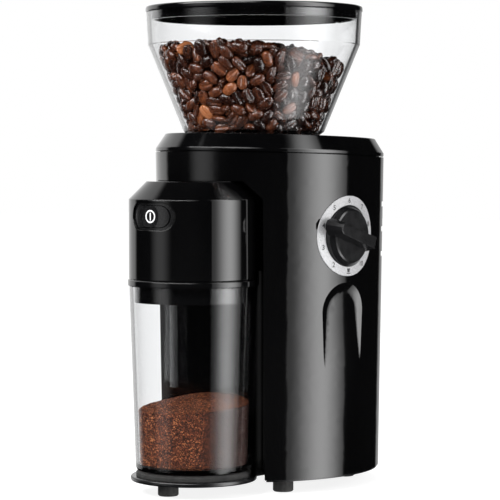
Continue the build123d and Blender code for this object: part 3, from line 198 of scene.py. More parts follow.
def area_light(name, right, toward, height, size, power, aim_height):
    """Soft lamp that only lights surfaces and is never seen itself."""
    data = bpy.data.lights.new(name, "AREA")
    data.shape = "DISK"
    data.size = size
    data.energy = power
    lamp = bpy.data.objects.new(name, data)
    bpy.context.scene.collection.objects.link(lamp)
    lamp.location = GRIND_AXIS + TO_RIGHT * right + TO_CAMERA * toward
    lamp.location.z = height
    aim = Vector((GRIND_AXIS.x, GRIND_AXIS.y, aim_height))
    lamp.rotation_euler = (aim - lamp.location).to_track_quat("-Z", "Y").to_euler()
    lamp.visible_camera = False
    lamp.visible_glossy = False
    lamp.visible_transmission = False


def make_floor():
    """Glowing white floor that neither reflections nor clear walls show."""
    mesh = bpy.data.meshes.new("floor")
    corners = [(x * FLOOR_REACH, y * FLOOR_REACH, 0)
               for x, y in ((-1, -1), (1, -1), (1, 1), (-1, 1))]
    mesh.from_pydata(corners, [], [(0, 1, 2, 3)])
    floor = bpy.data.objects.new("floor", mesh)
    bpy.context.scene.collection.objects.link(floor)
    floor.location.z = -FLOOR_DROP
    paint = shader("floor_white", (FLOOR_TONE,) * 3, 0.9, Specular_IOR_Level=0.0,
                   Emission_Color=(1, 1, 1, 1), Emission_Strength=FLOOR_GLOW)
    mesh.materials.append(paint)
    floor.visible_glossy = False
    floor.visible_transmission = False


def make_studio():
    make_world()
    for lamp in LAMPS:
        area_light(**lamp)
    make_floor()
    bpy.context.scene.view_settings.view_transform = "Standard"


# ---- Materials ----------------------------------------------------------------------------
def shader(name, colour, roughness, **sockets):
    """New material; the sockets are the shader's inputs, with _ for spaces."""
    made = bpy.data.materials.new(name)
    made.use_nodes = True
    inputs = made.node_tree.nodes["Principled BSDF"].inputs
    inputs["Base Color"].default_value = (*colour, 1)
    inputs["Roughness"].default_value = roughness
    for key, value in sockets.items():
        inputs[key.replace("_", " ")].default_value = value
    return made


def into(made, socket, source):
    """Links a source to an input of the material's shader."""
    made.node_tree.links.new(source, made.node_tree.nodes["Principled BSDF"].inputs[socket])


def place(made, stretch=(1, 1, 1)):
    """Coordinates that stay with the piece, in metres."""
    source = add_node(made, "ShaderNodeTexCoord").outputs["Object"]
    return add_node(made, "ShaderNodeMapping", [("Vector", source), ("Scale", stretch)]).outputs[0]


def noise(made, size, detail=3.0, stretch=(1, 1, 1), rough=0.5):
    """Noise whose features are about size across."""
    node = add_node(made, "ShaderNodeTexNoise", [
        ("Vector", place(made, stretch)), ("Scale", 1 / size), ("Detail", detail),
        ("Roughness", rough)])
    return node.outputs["Fac"]


def cells(made, size, feature="F1"):
    """Distances inside cells that are about size across."""
    node = add_node(made, "ShaderNodeTexVoronoi", [
        ("Vector", place(made)), ("Scale", 1 / size)], feature=feature)
    return node.outputs["Distance"]


def remap(made, source, low, high, from_low=0.3, from_high=0.7):
    """Moves a value to the range from low to high; noise lies mostly between 0.3 and 0.7."""
    node = add_node(made, "ShaderNodeMapRange", [
        ("Value", source), ("From Min", from_low), ("From Max", from_high),
        ("To Min", low), ("To Max", high)])
    return node.outputs["Result"]


def ramp(made, source, *stops):
    """Colour ramp; each stop is (position, colour)."""
    node = add_node(made, "ShaderNodeValToRGB", [("Fac", source)])
    while len(node.color_ramp.elements) < len(stops):
        node.color_ramp.elements.new(0.5)
    for element, (position, colour) in zip(node.color_ramp.elements, stops):
        element.position = position
        element.color = (*colour, 1)
    return node.outputs["Color"]


def bump(made, height, depth, under=None):
    """Normal of a relief depth deep, laid over the normal under."""
    inputs = [("Height", height), ("Distance", depth)]
    if under is not None:
        inputs.append(("Normal", under))
    return add_node(made, "ShaderNodeBump", inputs).outputs["Normal"]


def soft_edges(made, radius):
    """Normal that rounds the piece's sharp edges, as moulded ones are."""
    return add_node(made, "ShaderNodeBevel", [("Radius", radius)],
                    samples=EDGE_SAMPLES).outputs["Normal"]


def gloss_black(name, edge_radius=None):
    """High gloss moulded plastic: faint waviness, dust specks and fine wipe marks."""
    made = shader(name, (0.002, 0.002, 0.0022), 0.06)
    wipe = noise(made, 30 * MM, 5, (1, 1, 0.25))
    dust = cells(made, 2.4 * MM)
    specks = remap(made, dust, 0.06, 0.0, 0.02, 0.07)
    into(made, "Roughness", maths(made, "ADD", remap(made, wipe, 0.035, 0.075), specks))
    into(made, "Base Color", ramp(made, wipe, (0.35, (0.0014, 0.0014, 0.0016)),
                                  (0.75, (0.003, 0.003, 0.0032))))
    edges = soft_edges(made, edge_radius) if edge_radius else None
    into(made, "Normal", bump(made, noise(made, 14 * MM, 1), 0.004 * MM, under=edges))
    return made


def satin_black():
    """Satin moulded plastic with a fine even grain."""
    made = shader("satin_black", (0.006, 0.006, 0.0065), 0.25)
    into(made, "Roughness", remap(made, noise(made, 6 * MM, 4), 0.21, 0.27))
    into(made, "Base Color", ramp(made, noise(made, 12 * MM, 3), (0.3, (0.004, 0.004, 0.0044)),
                                  (0.7, (0.008, 0.008, 0.0085))))
    into(made, "Normal", bump(made, noise(made, 0.45 * MM, 2), 0.002 * MM))
    return made


def matte_black():
    """Spark-eroded moulding texture."""
    made = shader("matte_black", (0.024, 0.024, 0.025), 0.55)
    into(made, "Roughness", remap(made, noise(made, 4 * MM, 4), 0.48, 0.64))
    into(made, "Base Color", ramp(made, noise(made, 9 * MM, 3), (0.3, (0.018, 0.018, 0.019)),
                                  (0.7, (0.031, 0.031, 0.032))))
    into(made, "Normal", bump(made, cells(made, 0.5 * MM), 0.03 * MM))
    return made


def clear_plastic():
    """Clear polished plastic that lets lamps through."""
    made = shader("clear_plastic", (0.985, 0.99, 0.995), 0.0, Transmission_Weight=1.0, IOR=1.34)
    into(made, "Roughness", remap(made, noise(made, 12 * MM, 4, (1, 1, 0.2)), 0.0, 0.03))
    tree = made.node_tree
    rays = add_node(made, "ShaderNodeLightPath")
    passing = maths(made, "MAXIMUM", rays.outputs["Is Shadow Ray"], rays.outputs["Is Diffuse Ray"])
    through = add_node(made, "ShaderNodeBsdfTransparent", [("Color", (0.95, 0.95, 0.96, 1))])
    mix = add_node(made, "ShaderNodeMixShader", [
        ("Fac", passing), (1, tree.nodes["Principled BSDF"].outputs[0]), (2, through.outputs[0])])
    tree.links.new(mix.outputs[0], tree.nodes["Material Output"].inputs["Surface"])
    return made


def dial_metal():
    """Satin silver finish with a fine speckle."""
    made = shader("dial_metal", (0.5, 0.5, 0.51), 0.42, Metallic=0.12)
    speckle = cells(made, 0.7 * MM)
    into(made, "Base Color", ramp(made, speckle, (0.05, (0.22, 0.22, 0.23)),
                                  (0.35, (0.46, 0.46, 0.47)), (0.9, (0.55, 0.55, 0.56))))
    into(made, "Roughness", remap(made, noise(made, 2 * MM, 3), 0.34, 0.52))
    into(made, "Normal", bump(made, noise(made, 0.5 * MM, 2), 0.015 * MM))
    return made


def rubber():
    """Black rubber, a little worn."""
    made = shader("rubber", (0.018, 0.018, 0.018), 0.8)
    into(made, "Roughness", remap(made, noise(made, 3 * MM, 4), 0.7, 0.92))
    into(made, "Base Color", ramp(made, noise(made, 7 * MM, 3), (0.3, (0.013, 0.013, 0.013)),
                                  (0.7, (0.030, 0.029, 0.028))))
    into(made, "Normal", bump(made, noise(made, 0.8 * MM, 3), 0.04 * MM))
    return made


def turned_metal(name, colour, roughness=0.32):
    """Machined metal with fine rings round upright parts and a little tarnish."""
    made = shader(name, colour, roughness, Metallic=1.0)
    tarnished = tuple(c * 0.72 for c in colour)
    into(made, "Base Color", ramp(made, noise(made, 5 * MM, 5), (0.3, tarnished), (0.7, colour)))
    into(made, "Roughness", remap(made, noise(made, 3 * MM, 3, (1, 1, 12)), roughness - 0.08,
                                  roughness + 0.14))
    into(made, "Normal", bump(made, noise(made, 2 * MM, 2, (1, 1, 20)), 0.01 * MM))
    return made


def ferrite():
    """Sintered magnet, dull grey."""
    made = shader("ferrite", (0.09, 0.09, 0.095), 0.6, Metallic=0.2)
    into(made, "Base Color", ramp(made, noise(made, 1.6 * MM, 4), (0.3, (0.06, 0.06, 0.065)),
                                  (0.7, (0.13, 0.13, 0.135))))
    into(made, "Normal", bump(made, noise(made, 1 * MM, 3), 0.05 * MM))
    return made


def white_nylon():
    """Moulded nylon, slightly translucent, with a greasy sheen in places."""
    made = shader("white_nylon", (0.80, 0.79, 0.73), 0.4, Subsurface_Weight=0.1,
                  Subsurface_Scale=1.5 * MM)
    into(made, "Base Color", ramp(made, noise(made, 8 * MM, 3), (0.3, (0.72, 0.70, 0.62)),
                                  (0.7, (0.84, 0.83, 0.78))))
    into(made, "Roughness", remap(made, noise(made, 5 * MM, 3), 0.28, 0.5))
    into(made, "Normal", bump(made, noise(made, 0.6 * MM, 2), 0.02 * MM))
    return made


def circuit_board():
    """Solder mask over copper tracks."""
    made = shader("circuit_board", (0.04, 0.17, 0.08), 0.3)
    tracks = cells(made, 5 * MM, feature="DISTANCE_TO_EDGE")
    into(made, "Base Color", ramp(made, tracks, (0.04, (0.030, 0.12, 0.055)),
                                  (0.07, (0.055, 0.24, 0.11))))
    into(made, "Normal", bump(made, tracks, 0.08 * MM))
    return made


def shade_of(made):
    """The shade that a mesh stores for each of its vertices."""
    return add_node(made, "ShaderNodeAttribute", attribute_name="shade").outputs["Fac"]


def roasted_bean():
    """Dark roasted bean: per-bean shade, lighter chaff in the cut, a thin film of oil."""
    made = shader("roasted_bean", (0.06, 0.02, 0.012), 0.3, Coat_Weight=0.5, Coat_Roughness=0.09)
    mottle = noise(made, 2.6 * MM, 5, rough=0.6)
    # The shade attribute holds each bean's own tone together with painted shade towards the camera's
    # right.
    tone = maths(made, "ADD", shade_of(made), remap(made, mottle, -0.16, 0.16))
    into(made, "Base Color", ramp(
        made, tone, (0.05, (0.006, 0.0020, 0.0014)), (0.35, (0.024, 0.0068, 0.0036)),
        (0.60, (0.085, 0.024, 0.010)), (0.85, (0.25, 0.074, 0.024)), (1.0, (0.42, 0.15, 0.055))))
    into(made, "Roughness", remap(made, noise(made, 1.8 * MM, 4), 0.18, 0.36))
    into(made, "Normal", bump(made, noise(made, 1.1 * MM, 4, rough=0.65), 0.12 * MM))
    return made


def ground_coffee():
    """Ground coffee: reddish brown crumbs with paler and darker ones, and painted shade to the
    right.
    """
    made = shader("ground_coffee", (0.12, 0.04, 0.02), 0.75)
    crumb = add_node(made, "ShaderNodeTexVoronoi", [
        ("Vector", place(made)), ("Scale", 1 / (0.55 * MM))], feature="F1")
    split = add_node(made, "ShaderNodeSeparateColor", [("Color", crumb.outputs["Color"])])
    clumps = remap(made, noise(made, 3 * MM, 4), -0.16, 0.16)
    mixed = maths(made, "ADD", split.outputs[0], clumps)
    # The shade attribute is painted shade here, darkening the wall side towards the camera's right.
    tone = maths(made, "MULTIPLY", mixed, shade_of(made))
    into(made, "Base Color", ramp(
        made, tone, (0.0, (0.010, 0.0034, 0.0022)), (0.35, (0.050, 0.0135, 0.0065)),
        (0.65, (0.120, 0.031, 0.0125)), (0.85, (0.24, 0.064, 0.022)), (1.0, (0.50, 0.19, 0.07))))
    into(made, "Normal", bump(made, crumb.outputs["Distance"], 0.5 * MM))
    return made


def printed(name, colour, roughness):
    """Pad-printed ink with a slightly uneven tone."""
    made = shader(name, colour, roughness)
    into(made, "Roughness", remap(made, noise(made, 0.8 * MM, 3), roughness - 0.1, roughness + 0.1))
    light = tuple(min(1.0, c * 1.12 + 0.004) for c in colour)
    into(made, "Base Color", ramp(made, noise(made, 0.7 * MM, 2), (0.3, colour), (0.7, light)))
    return made


# Glossy mouldings whose edges catch the light.
EDGED_NODES = ("top_cover", "front_housing", "hopper_lid", "container_lid", "button_bezel",
               "power_button", "base_cover")
EDGE_RADIUS = 0.8 * MM
EDGE_SAMPLES = 6


def finish_nodes():
    """Gives every CAD node the material of its slot in the record."""
    made = {
        "gloss_black": gloss_black("gloss_black"),
        "satin_black": satin_black(),
        "matte_black": matte_black(),
        "clear_plastic": clear_plastic(),
        "dial_metal": dial_metal(),
        "rubber": rubber(),
        "steel": turned_metal("steel", (0.56, 0.56, 0.57)),
        "burr_steel": turned_metal("burr_steel", (0.44, 0.44, 0.46), roughness=0.26),
        "zinc": turned_metal("zinc", (0.60, 0.61, 0.63), roughness=0.4),
        "bronze": turned_metal("bronze", (0.60, 0.37, 0.19), roughness=0.38),
        "ferrite": ferrite(),
        "white_nylon": white_nylon(),
        "circuit_board": circuit_board(),
    }
    edged = gloss_black("gloss_black_edged", EDGE_RADIUS)
    for part in frame["record"]["subparts"]:
        mesh = NODES[part["node"]].data
        mesh.materials.clear()
        slot = part["material_slot"]
        catches_light = slot == "gloss_black" and part["node"] in EDGED_NODES
        mesh.materials.append(edged if catches_light else made[slot])


# ---- Mesh helpers -------------------------------------------------------------------------
def new_piece(name, vertices, faces, material, body, smooth=True):
    """Mesh object that rides on a body."""
    mesh = bpy.data.meshes.new(name)
    mesh.from_pydata([tuple(v) for v in vertices], [], faces)
    mesh.validate()
    mesh.update()
    mesh.materials.append(material)
    mesh.polygons.foreach_set("use_smooth", [smooth] * len(mesh.polygons))
    piece = bpy.data.objects.new(name, mesh)
    bpy.context.scene.collection.objects.link(piece)
    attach(piece, body)
    return piece


def set_shades(piece, values):
    """Stores a shade for each vertex, which the material reads."""
    shade = piece.data.attributes.new("shade", "FLOAT", "POINT")
    shade.data.foreach_set("value", np.array(values, np.float32))


def surface_of(node):
    """Search tree of a CAD node's surface, for casting rays at it."""
    return BVHTree.FromObject(NODES[node], bpy.context.evaluated_depsgraph_get())


def wall_radii(node, axis, heights):
    """Distances from an upright axis to a CAD node's inner wall at some heights."""
    tree = surface_of(node)
    starts = [Vector((axis.x, axis.y, height)) for height in heights]
    return [tree.ray_cast(start, Vector((1, 0, 0)))[3] for start in starts]


# ---- Coffee beans -------------------------------------------------------------------------
# Half a bean's length and width, and how far its domed and its cut side stand out.
BEAN_LENGTH, BEAN_WIDTH, BEAN_DOME, BEAN_FLAT = 4.85 * MM, 3.4 * MM, 2.9 * MM, 1.6 * MM
BEAN_CUT_WIDTH, BEAN_CUT_DEPTH = 0.9 * MM, 1.1 * MM     # half the cut's width, and its depth
BEAN_BEND = 0.35 * MM
BEAN_BLUNTNESS = 0.8        # below 1 the ends are blunter than an ellipse's
# Degrees round a bean's section, closest together at the cut.
BEAN_TURNS = (-90, -80, -66, -45, -18, 15, 52, 90, 128, 165, 198, 225, 246, 260)
BEAN_RINGS = 8
BEAN_SIZE_SPREAD, BEAN_SMALLEST, BEAN_LARGEST = 0.055, 0.86, 1.12
# Shades run from 0, nearly black, to 1, pale. Beans get painted shade that darkens them towards the
# camera's right, a few are paler than the rest, and each is paler in its cut.
BEAN_SHADE, BEAN_SHADE_SPREAD, BEAN_DARKEST, BEAN_PALEST = 0.42, 0.14, 0.1, 0.78
RIGHT_PAINTED_SHADE, RIGHT_SHADE_SPAN = 0.1, 50 * MM
PALE_SHARE, PALE_GAIN = 0.035, 0.28
CUT_GAIN, CUT_PALE_SHARE = 0.14, 0.7        # the share is of the cut's width
BEANS_PER_PIECE = 520
BEAN_SEED = 12

# The pile's top: level on the left, lower by PILE_FALL on the right, with shallow waves.
PILE_TOP, PILE_FALL, PILE_WAVE = 0.2515, 9.5 * MM, 2 * MM
PILE_FALL_START, PILE_FALL_SPAN = 5 * MM, 50 * MM
PILE_WAVE_FRONT, PILE_WAVE_SIDE = 14 * MM, 11 * MM

# Packing: every bean is two balls on its long axis, and balls of different beans push each other
# apart. They start on a jittered grid; its layers and the jitter are shares of its pitch.
BEAN_REACH, BEAN_BALL = 2.05 * MM, 2.8 * MM         # from a bean's middle to a ball, and its radius
BEAN_PITCH, LAYER_SHARE, JITTER = 6.3 * MM, 0.9, 0.42
GRID_REACH, GRID_TOP = 62 * MM, 0.262
START_CLEARANCE = 0.8 * BEAN_BALL                   # from the wall to a bean's middle
BEAN_SHAKES = 200
SHAKES_PER_SEARCH, SEARCH_REACH = 8, 1.35           # neighbours are within so many diameters
PUSH_SHARE = 0.45                                   # share of an overlap that each ball gives way
TOP_GIVE, TOP_PULL = 1.0 * MM, 0.5                  # share taken off what is above the top by more
SETTLE = 0.02 * MM                                  # how far a ball sinks in each shake
HOPPER_SLACK, WALL_LEAN = 0.35 * MM, 1.08           # gap to the wall, and what its lean adds
# The hopper's wall is measured at levels from this far above its foot to this far below its rim.
PROFILE_ABOVE, PROFILE_BELOW, PROFILE_LEVELS = 3.5 * MM, 2 * MM, 30
NEARLY_ZERO = 1e-9

# Beans this near to the wall or the pile's top lie more or less flat against it.
WALL_ZONE, TOP_ZONE = 8 * MM, 6 * MM
ALONG_WALL = 0.85           # share of a long axis's way outwards that is taken away
WALL_DIP = -0.35            # rise of the direction that beans at the wall face
TILT_SPREAD = 0.38
CUT_OUTWARD_SHARE = 0.6     # share of the beans that show their cut


def bean_shape():
    """Points and faces of one bean, its long side on X and its flat side down."""
    points = [(-BEAN_LENGTH, 0, 0)]
    for ring in range(1, BEAN_RINGS + 1):
        theta = math.pi * ring / (BEAN_RINGS + 1)
        swell = math.sin(theta) ** BEAN_BLUNTNESS
        for turn in BEAN_TURNS:
            angle = math.radians(turn)
            y = BEAN_WIDTH * swell * math.cos(angle)
            height = BEAN_DOME if math.sin(angle) > 0 else BEAN_FLAT
            z = height * swell * math.sin(angle)
            if math.sin(angle) < 0 and abs(y) < BEAN_CUT_WIDTH:
                z += BEAN_CUT_DEPTH * (1 - abs(y) / BEAN_CUT_WIDTH) * math.sin(theta)
            bend = BEAN_BEND * math.sin(2 * theta)
            points.append((-BEAN_LENGTH * math.cos(theta), y + bend, z))
    points.append((BEAN_LENGTH, 0, 0))
    around = len(BEAN_TURNS)
    last = len(points) - 1
    faces = [(0, 1 + (i + 1) % around, 1 + i) for i in range(around)]
    for ring in range(BEAN_RINGS - 1):
        a, b = 1 + ring * around, 1 + (ring + 1) * around
        for i in range(around):
            j = (i + 1) % around
            faces.append((a + i, a + j, b + j, b + i))
    a = 1 + (BEAN_RINGS - 1) * around
    faces += [(a + i, a + (i + 1) % around, last) for i in range(around)]
    return np.array(points), faces


def hopper_wall():
    """Levels from the foot to the rim, and the hopper's inner radius at each."""
    low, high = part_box("hopper")
    levels = np.linspace(low.z + PROFILE_ABOVE, high.z - PROFILE_BELOW, PROFILE_LEVELS)
    return levels, wall_radii("hopper", GRIND_AXIS, levels)


def to_right(x, y):
    """How far points lie to the camera's right of the hopper's axis."""
    return x * TO_RIGHT.x + y * TO_RIGHT.y


def bean_top(x, y):
    """Height of the pile's top."""
    side = to_right(x, y)
    front = x * TO_CAMERA.x + y * TO_CAMERA.y
    fall = np.clip((side - PILE_FALL_START) / PILE_FALL_SPAN, 0, 1)
    wave = PILE_WAVE * np.cos(front / PILE_WAVE_FRONT) * np.sin(side / PILE_WAVE_SIDE)
    return PILE_TOP - PILE_FALL * fall + wave


def towards_wall(centres, wall):
    """Each bean's level gap to the hopper's wall, and the direction outwards."""
    reach = np.hypot(centres[:, 0], centres[:, 1])
    gap = np.interp(centres[:, 2], *wall) - reach
    return gap, centres * [1, 1, 0] / np.maximum(reach, NEARLY_ZERO)[:, None]


def close_pairs(balls, owner, reach):
    """Pairs of balls of different beans nearer than reach."""
    squared = (balls ** 2).sum(1)
    apart = squared[:, None] + squared[None, :] - 2 * balls @ balls.T
    first, second = np.nonzero(np.triu(apart < reach ** 2, 1))
    different = owner[first] != owner[second]
    return first[different], second[different]


def start_beans(rng, wall):
    """Centres on a jittered grid, and long axes that lie along the wall where it is near."""
    floor = wall[0][0]
    grid = np.arange(-GRID_REACH, GRID_REACH, BEAN_PITCH)
    heights = np.arange(floor + BEAN_BALL, GRID_TOP, BEAN_PITCH * LAYER_SHARE)
    places = np.array([(x, y, z) for z in heights for y in grid for x in grid])
    places += rng.uniform(-JITTER, JITTER, places.shape) * BEAN_PITCH
    inside = np.interp(places[:, 2], *wall)
    reach = np.hypot(places[:, 0], places[:, 1])
    below_top = places[:, 2] < bean_top(places[:, 0], places[:, 1])
    centres = places[(reach < inside - START_CLEARANCE) & below_top]
    long_axes = rng.normal(size=(len(centres), 3))
    gap, outward = towards_wall(centres, wall)
    taken = np.where((gap < WALL_ZONE)[:, None], ALONG_WALL, 0.0)
    long_axes -= taken * (long_axes * outward).sum(1)[:, None] * outward
    long_axes /= np.linalg.norm(long_axes, axis=1)[:, None]
    return centres, long_axes


def pack_beans(rng, wall):
    """Centres and long axes of beans that fill the hopper without much overlap."""
    centres, long_axes = start_beans(rng, wall)
    floor = wall[0][0]
    count = len(centres)
    owner = np.tile(np.arange(count), 2)
    for shake in range(BEAN_SHAKES):
        balls = np.concatenate([centres - long_axes * BEAN_REACH, centres + long_axes * BEAN_REACH])
        if shake % SHAKES_PER_SEARCH == 0:
            first, second = close_pairs(balls, owner, 2 * BEAN_BALL * SEARCH_REACH)
        gap = balls[second] - balls[first]
        apart = np.linalg.norm(gap, axis=1)
        overlap = np.maximum(2 * BEAN_BALL - apart, 0)
        push = gap / np.maximum(apart, NEARLY_ZERO)[:, None] * (overlap * PUSH_SHARE)[:, None]
        for axis in range(3):
            balls[:, axis] += np.bincount(second, push[:, axis], len(balls))
            balls[:, axis] -= np.bincount(first, push[:, axis], len(balls))
        reach = np.hypot(balls[:, 0], balls[:, 1])
        limit = np.interp(balls[:, 2], *wall) - (BEAN_BALL + HOPPER_SLACK) * WALL_LEAN
        squeeze = np.minimum(1, limit / np.maximum(reach, NEARLY_ZERO))
        balls[:, :2] *= squeeze[:, None]
        balls[:, 2] = np.maximum(balls[:, 2], floor + BEAN_BALL)
        top = bean_top(balls[:, 0], balls[:, 1]) + TOP_GIVE
        balls[:, 2] -= np.maximum(balls[:, 2] - top, 0) * TOP_PULL
        balls[:, 2] -= SETTLE
        back, ahead = balls[:count], balls[count:]
        centres = (back + ahead) / 2
        long_axes = ahead - back
        long_axes /= np.linalg.norm(long_axes, axis=1)[:, None]
    return centres, long_axes


def bean_frames(rng, wall, centres, long_axes):
    """Rotation of each bean: its thin side towards the nearest wall or the pile's top."""
    count = len(centres)
    gap, outward = towards_wall(centres, wall)
    outward[:, 2] = WALL_DIP
    up = np.tile([0.0, 0.0, 1.0], (count, 1))
    at_wall = (gap < WALL_ZONE)[:, None]
    at_top = (bean_top(centres[:, 0], centres[:, 1]) - centres[:, 2] < TOP_ZONE)[:, None]
    towards = np.where(at_wall, outward, np.where(at_top, up, rng.normal(size=(count, 3))))
    towards += rng.normal(size=(count, 3)) * TILT_SPREAD
    towards *= np.where(rng.random(count) < CUT_OUTWARD_SHARE, -1, 1)[:, None]
    thin = towards - (towards * long_axes).sum(1)[:, None] * long_axes
    thin /= np.linalg.norm(thin, axis=1)[:, None]
    wide = np.cross(thin, long_axes)
    return np.stack([long_axes, wide, thin], axis=2)


def bean_shades(rng, centres):
    """Shade of each bean: random tone, painted shade to the camera's right, a few paler ones."""
    side = to_right(centres[:, 0], centres[:, 1])
    # Painted shade: beans further to the camera's right are made darker.
    shades = rng.normal(BEAN_SHADE, BEAN_SHADE_SPREAD, len(centres)) - RIGHT_PAINTED_SHADE * side / RIGHT_SHADE_SPAN
    shades = shades.clip(BEAN_DARKEST, BEAN_PALEST)
    shades[rng.random(len(centres)) < PALE_SHARE] += PALE_GAIN
    return shades


def make_beans():
    """Fills the hopper, with the beans in a few meshes from the bottom up."""
    rng = np.random.default_rng(BEAN_SEED)
    wall = hopper_wall()
    centres, long_axes = pack_beans(rng, wall)
    turns = bean_frames(rng, wall, centres, long_axes)
    scales = rng.normal(1.0, BEAN_SIZE_SPREAD, (len(centres), 3)).clip(BEAN_SMALLEST, BEAN_LARGEST)
    shades = bean_shades(rng, centres)
    shape, faces = bean_shape()
    corner_count = len(shape)
    cut = (np.abs(shape[:, 1]) < BEAN_CUT_WIDTH * CUT_PALE_SHARE) & (shape[:, 2] < 0)
    material = roasted_bean()
    order = np.argsort(centres[:, 2], kind="stable")
    origin = np.array([GRIND_AXIS.x, GRIND_AXIS.y, 0])
    for part, start in enumerate(range(0, len(order), BEANS_PER_PIECE), start=1):
        chosen = order[start:start + BEANS_PER_PIECE]
        vertices = np.concatenate([
            (shape * scales[i]) @ turns[i].T + centres[i] + origin for i in chosen])
        all_faces = [tuple(index + corner_count * n for index in face)
                     for n in range(len(chosen)) for face in faces]
        piece = new_piece(f"coffee_beans_{part}", vertices, all_faces, material, "bean_hopper")
        values = np.repeat(shades[chosen], corner_count) + np.tile(cut * CUT_GAIN, len(chosen))
        set_shades(piece, values)


# ---- Ground coffee ------------------------------------------------------------------------
# Vertices in a ring, rings up the wall, and rings from there to the middle of the top.
GROUNDS_AROUND, GROUNDS_ROWS, GROUNDS_RINGS = 240, 44, 34
CUP_FLOOR = 2.4 * MM                                # thickness of the cup's floor
GROUNDS_CLEAR, GROUNDS_LIFT = 0.3 * MM, 0.15 * MM   # gaps to the cup's wall and to its floor
FOOT_ROUND = 1.8 * MM                               # rounding of the heap's lower edge
# The cup's wall is measured this far above its floor, and at this height.
WALL_LOW, WALL_HIGH = 3 * MM, 0.05
# The top: its height at the cup's axis, its slope up to the camera's right, and a mound on it,
# with its height, where it is to the right and towards the camera, and how wide it is.
HEAP_LEVEL, HEAP_SLOPE = 0.0472, 0.045
MOUND, MOUND_SIDE, MOUND_FRONT, MOUND_WIDTH = 6.8 * MM, 6 * MM, -12 * MM, 20 * MM
# How far single grains move: in from the wall, up or down it, and up or down on the top.
WALL_GRAIN, WALL_GRAIN_UP, TOP_GRAIN = 0.28 * MM, 0.2 * MM, 0.4 * MM
EDGE_GRAIN_SHARE = 0.4                              # share left at the wall side's two edges
GRAIN_FADE = 2.5                                    # on top they fade within 1 / this of the radius
# Painted shade: the wall side gets darker over this span to the camera's right, by these factors.
PAINTED_SHADE_SPAN, PAINTED_SHADE_FACTORS = (4 * MM, 17 * MM), (1.0, 0.25)
GROUNDS_SEED = 5


def grounds_top(side, front):
    """Height of the grounds: highest at the rear right, lowest at the left."""
    squared = (side - MOUND_SIDE) ** 2 + (front - MOUND_FRONT) ** 2
    return HEAP_LEVEL + MOUND * math.exp(-squared / (2 * MOUND_WIDTH ** 2)) + HEAP_SLOPE * side


def grounds_vertices():
    """Rings of vertices: up the wall, then over the top to the middle."""
    rng = np.random.default_rng(GROUNDS_SEED)
    low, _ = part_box("container")
    floor = low.z + CUP_FLOOR + GROUNDS_LIFT
    radii = wall_radii("container", CUP_AXIS, (floor + WALL_LOW, WALL_HIGH))
    radius_low, radius_high = (radius - GROUNDS_CLEAR for radius in radii)
    slope = (radius_high - radius_low) / (WALL_HIGH - floor - WALL_LOW)
    angles = [2 * math.pi * i / GROUNDS_AROUND for i in range(GROUNDS_AROUND)]
    vertices = []

    def add(angle, radius, height):
        vertices.append(Vector((CUP_AXIS.x + radius * math.cos(angle),
                                CUP_AXIS.y + radius * math.sin(angle), height)))

    def surface(angle, radius):
        spot = Vector((radius * math.cos(angle), radius * math.sin(angle), 0))
        return grounds_top(spot.dot(TO_RIGHT), spot.dot(TO_CAMERA))

    for row in range(GROUNDS_ROWS + 1):
        share = row / GROUNDS_ROWS
        rough = WALL_GRAIN * (EDGE_GRAIN_SHARE if row in (0, GROUNDS_ROWS) else 1)
        rough_up = WALL_GRAIN_UP if row > 0 else 0
        for angle, bit in zip(angles, rng.uniform(-1, 1, GROUNDS_AROUND)):
            height = floor + (surface(angle, radius_high) - floor) * share
            radius = radius_low + slope * (height - floor - WALL_LOW)
            radius -= FOOT_ROUND * max(0.0, 1 - (height - floor) / FOOT_ROUND) ** 2
            radius -= rough * (bit + 1)
            add(angle, radius, height + rough_up * bit)
    for ring in range(1, GROUNDS_RINGS):
        share = 1 - ring / GROUNDS_RINGS
        rough = TOP_GRAIN * min(1.0, share * GRAIN_FADE)
        for angle, bit in zip(angles, rng.uniform(-1, 1, GROUNDS_AROUND)):
            radius = radius_high * share
            add(angle, radius, surface(angle, radius) + rough * bit)
    vertices.append(Vector((CUP_AXIS.x, CUP_AXIS.y, grounds_top(0, 0))))
    return vertices


def grounds_faces():
    """Quads between the rings, a fan to the middle of the top, and one face for the floor."""
    count = GROUNDS_AROUND
    last_ring = GROUNDS_ROWS + GROUNDS_RINGS - 1
    nexts = [(i + 1) % count for i in range(count)]
    faces = []
    for ring in range(last_ring):
        a, b = ring * count, (ring + 1) * count
        faces += [(a + i, a + j, b + j, b + i) for i, j in enumerate(nexts)]
    last, peak = last_ring * count, (last_ring + 1) * count
    faces += [(last + i, last + j, peak) for i, j in enumerate(nexts)]
    faces.append(tuple(reversed(range(count))))
    return faces


def make_grounds():
    """Heap of grounds against the wall and floor of the cup."""
    vertices = grounds_vertices()
    heap = new_piece("ground_coffee", vertices, grounds_faces(), ground_coffee(),
                     "grounds_container")
    # Painted shade on the wall side, darker towards the camera's right; the top keeps its full tone.
    wall_count = (GROUNDS_ROWS + 1) * GROUNDS_AROUND
    sides = [(vertex - CUP_AXIS).dot(TO_RIGHT) for vertex in vertices[:wall_count]]
    painted_wall_shades = np.interp(sides, PAINTED_SHADE_SPAN, PAINTED_SHADE_FACTORS)
    set_shades(heap, np.append(painted_wall_shades, np.ones(len(vertices) - wall_count)))


# ---- Printed marks ------------------------------------------------------------------------
PRINT_LIFT = 0.05 * MM      # gap between a mark and the surface under it


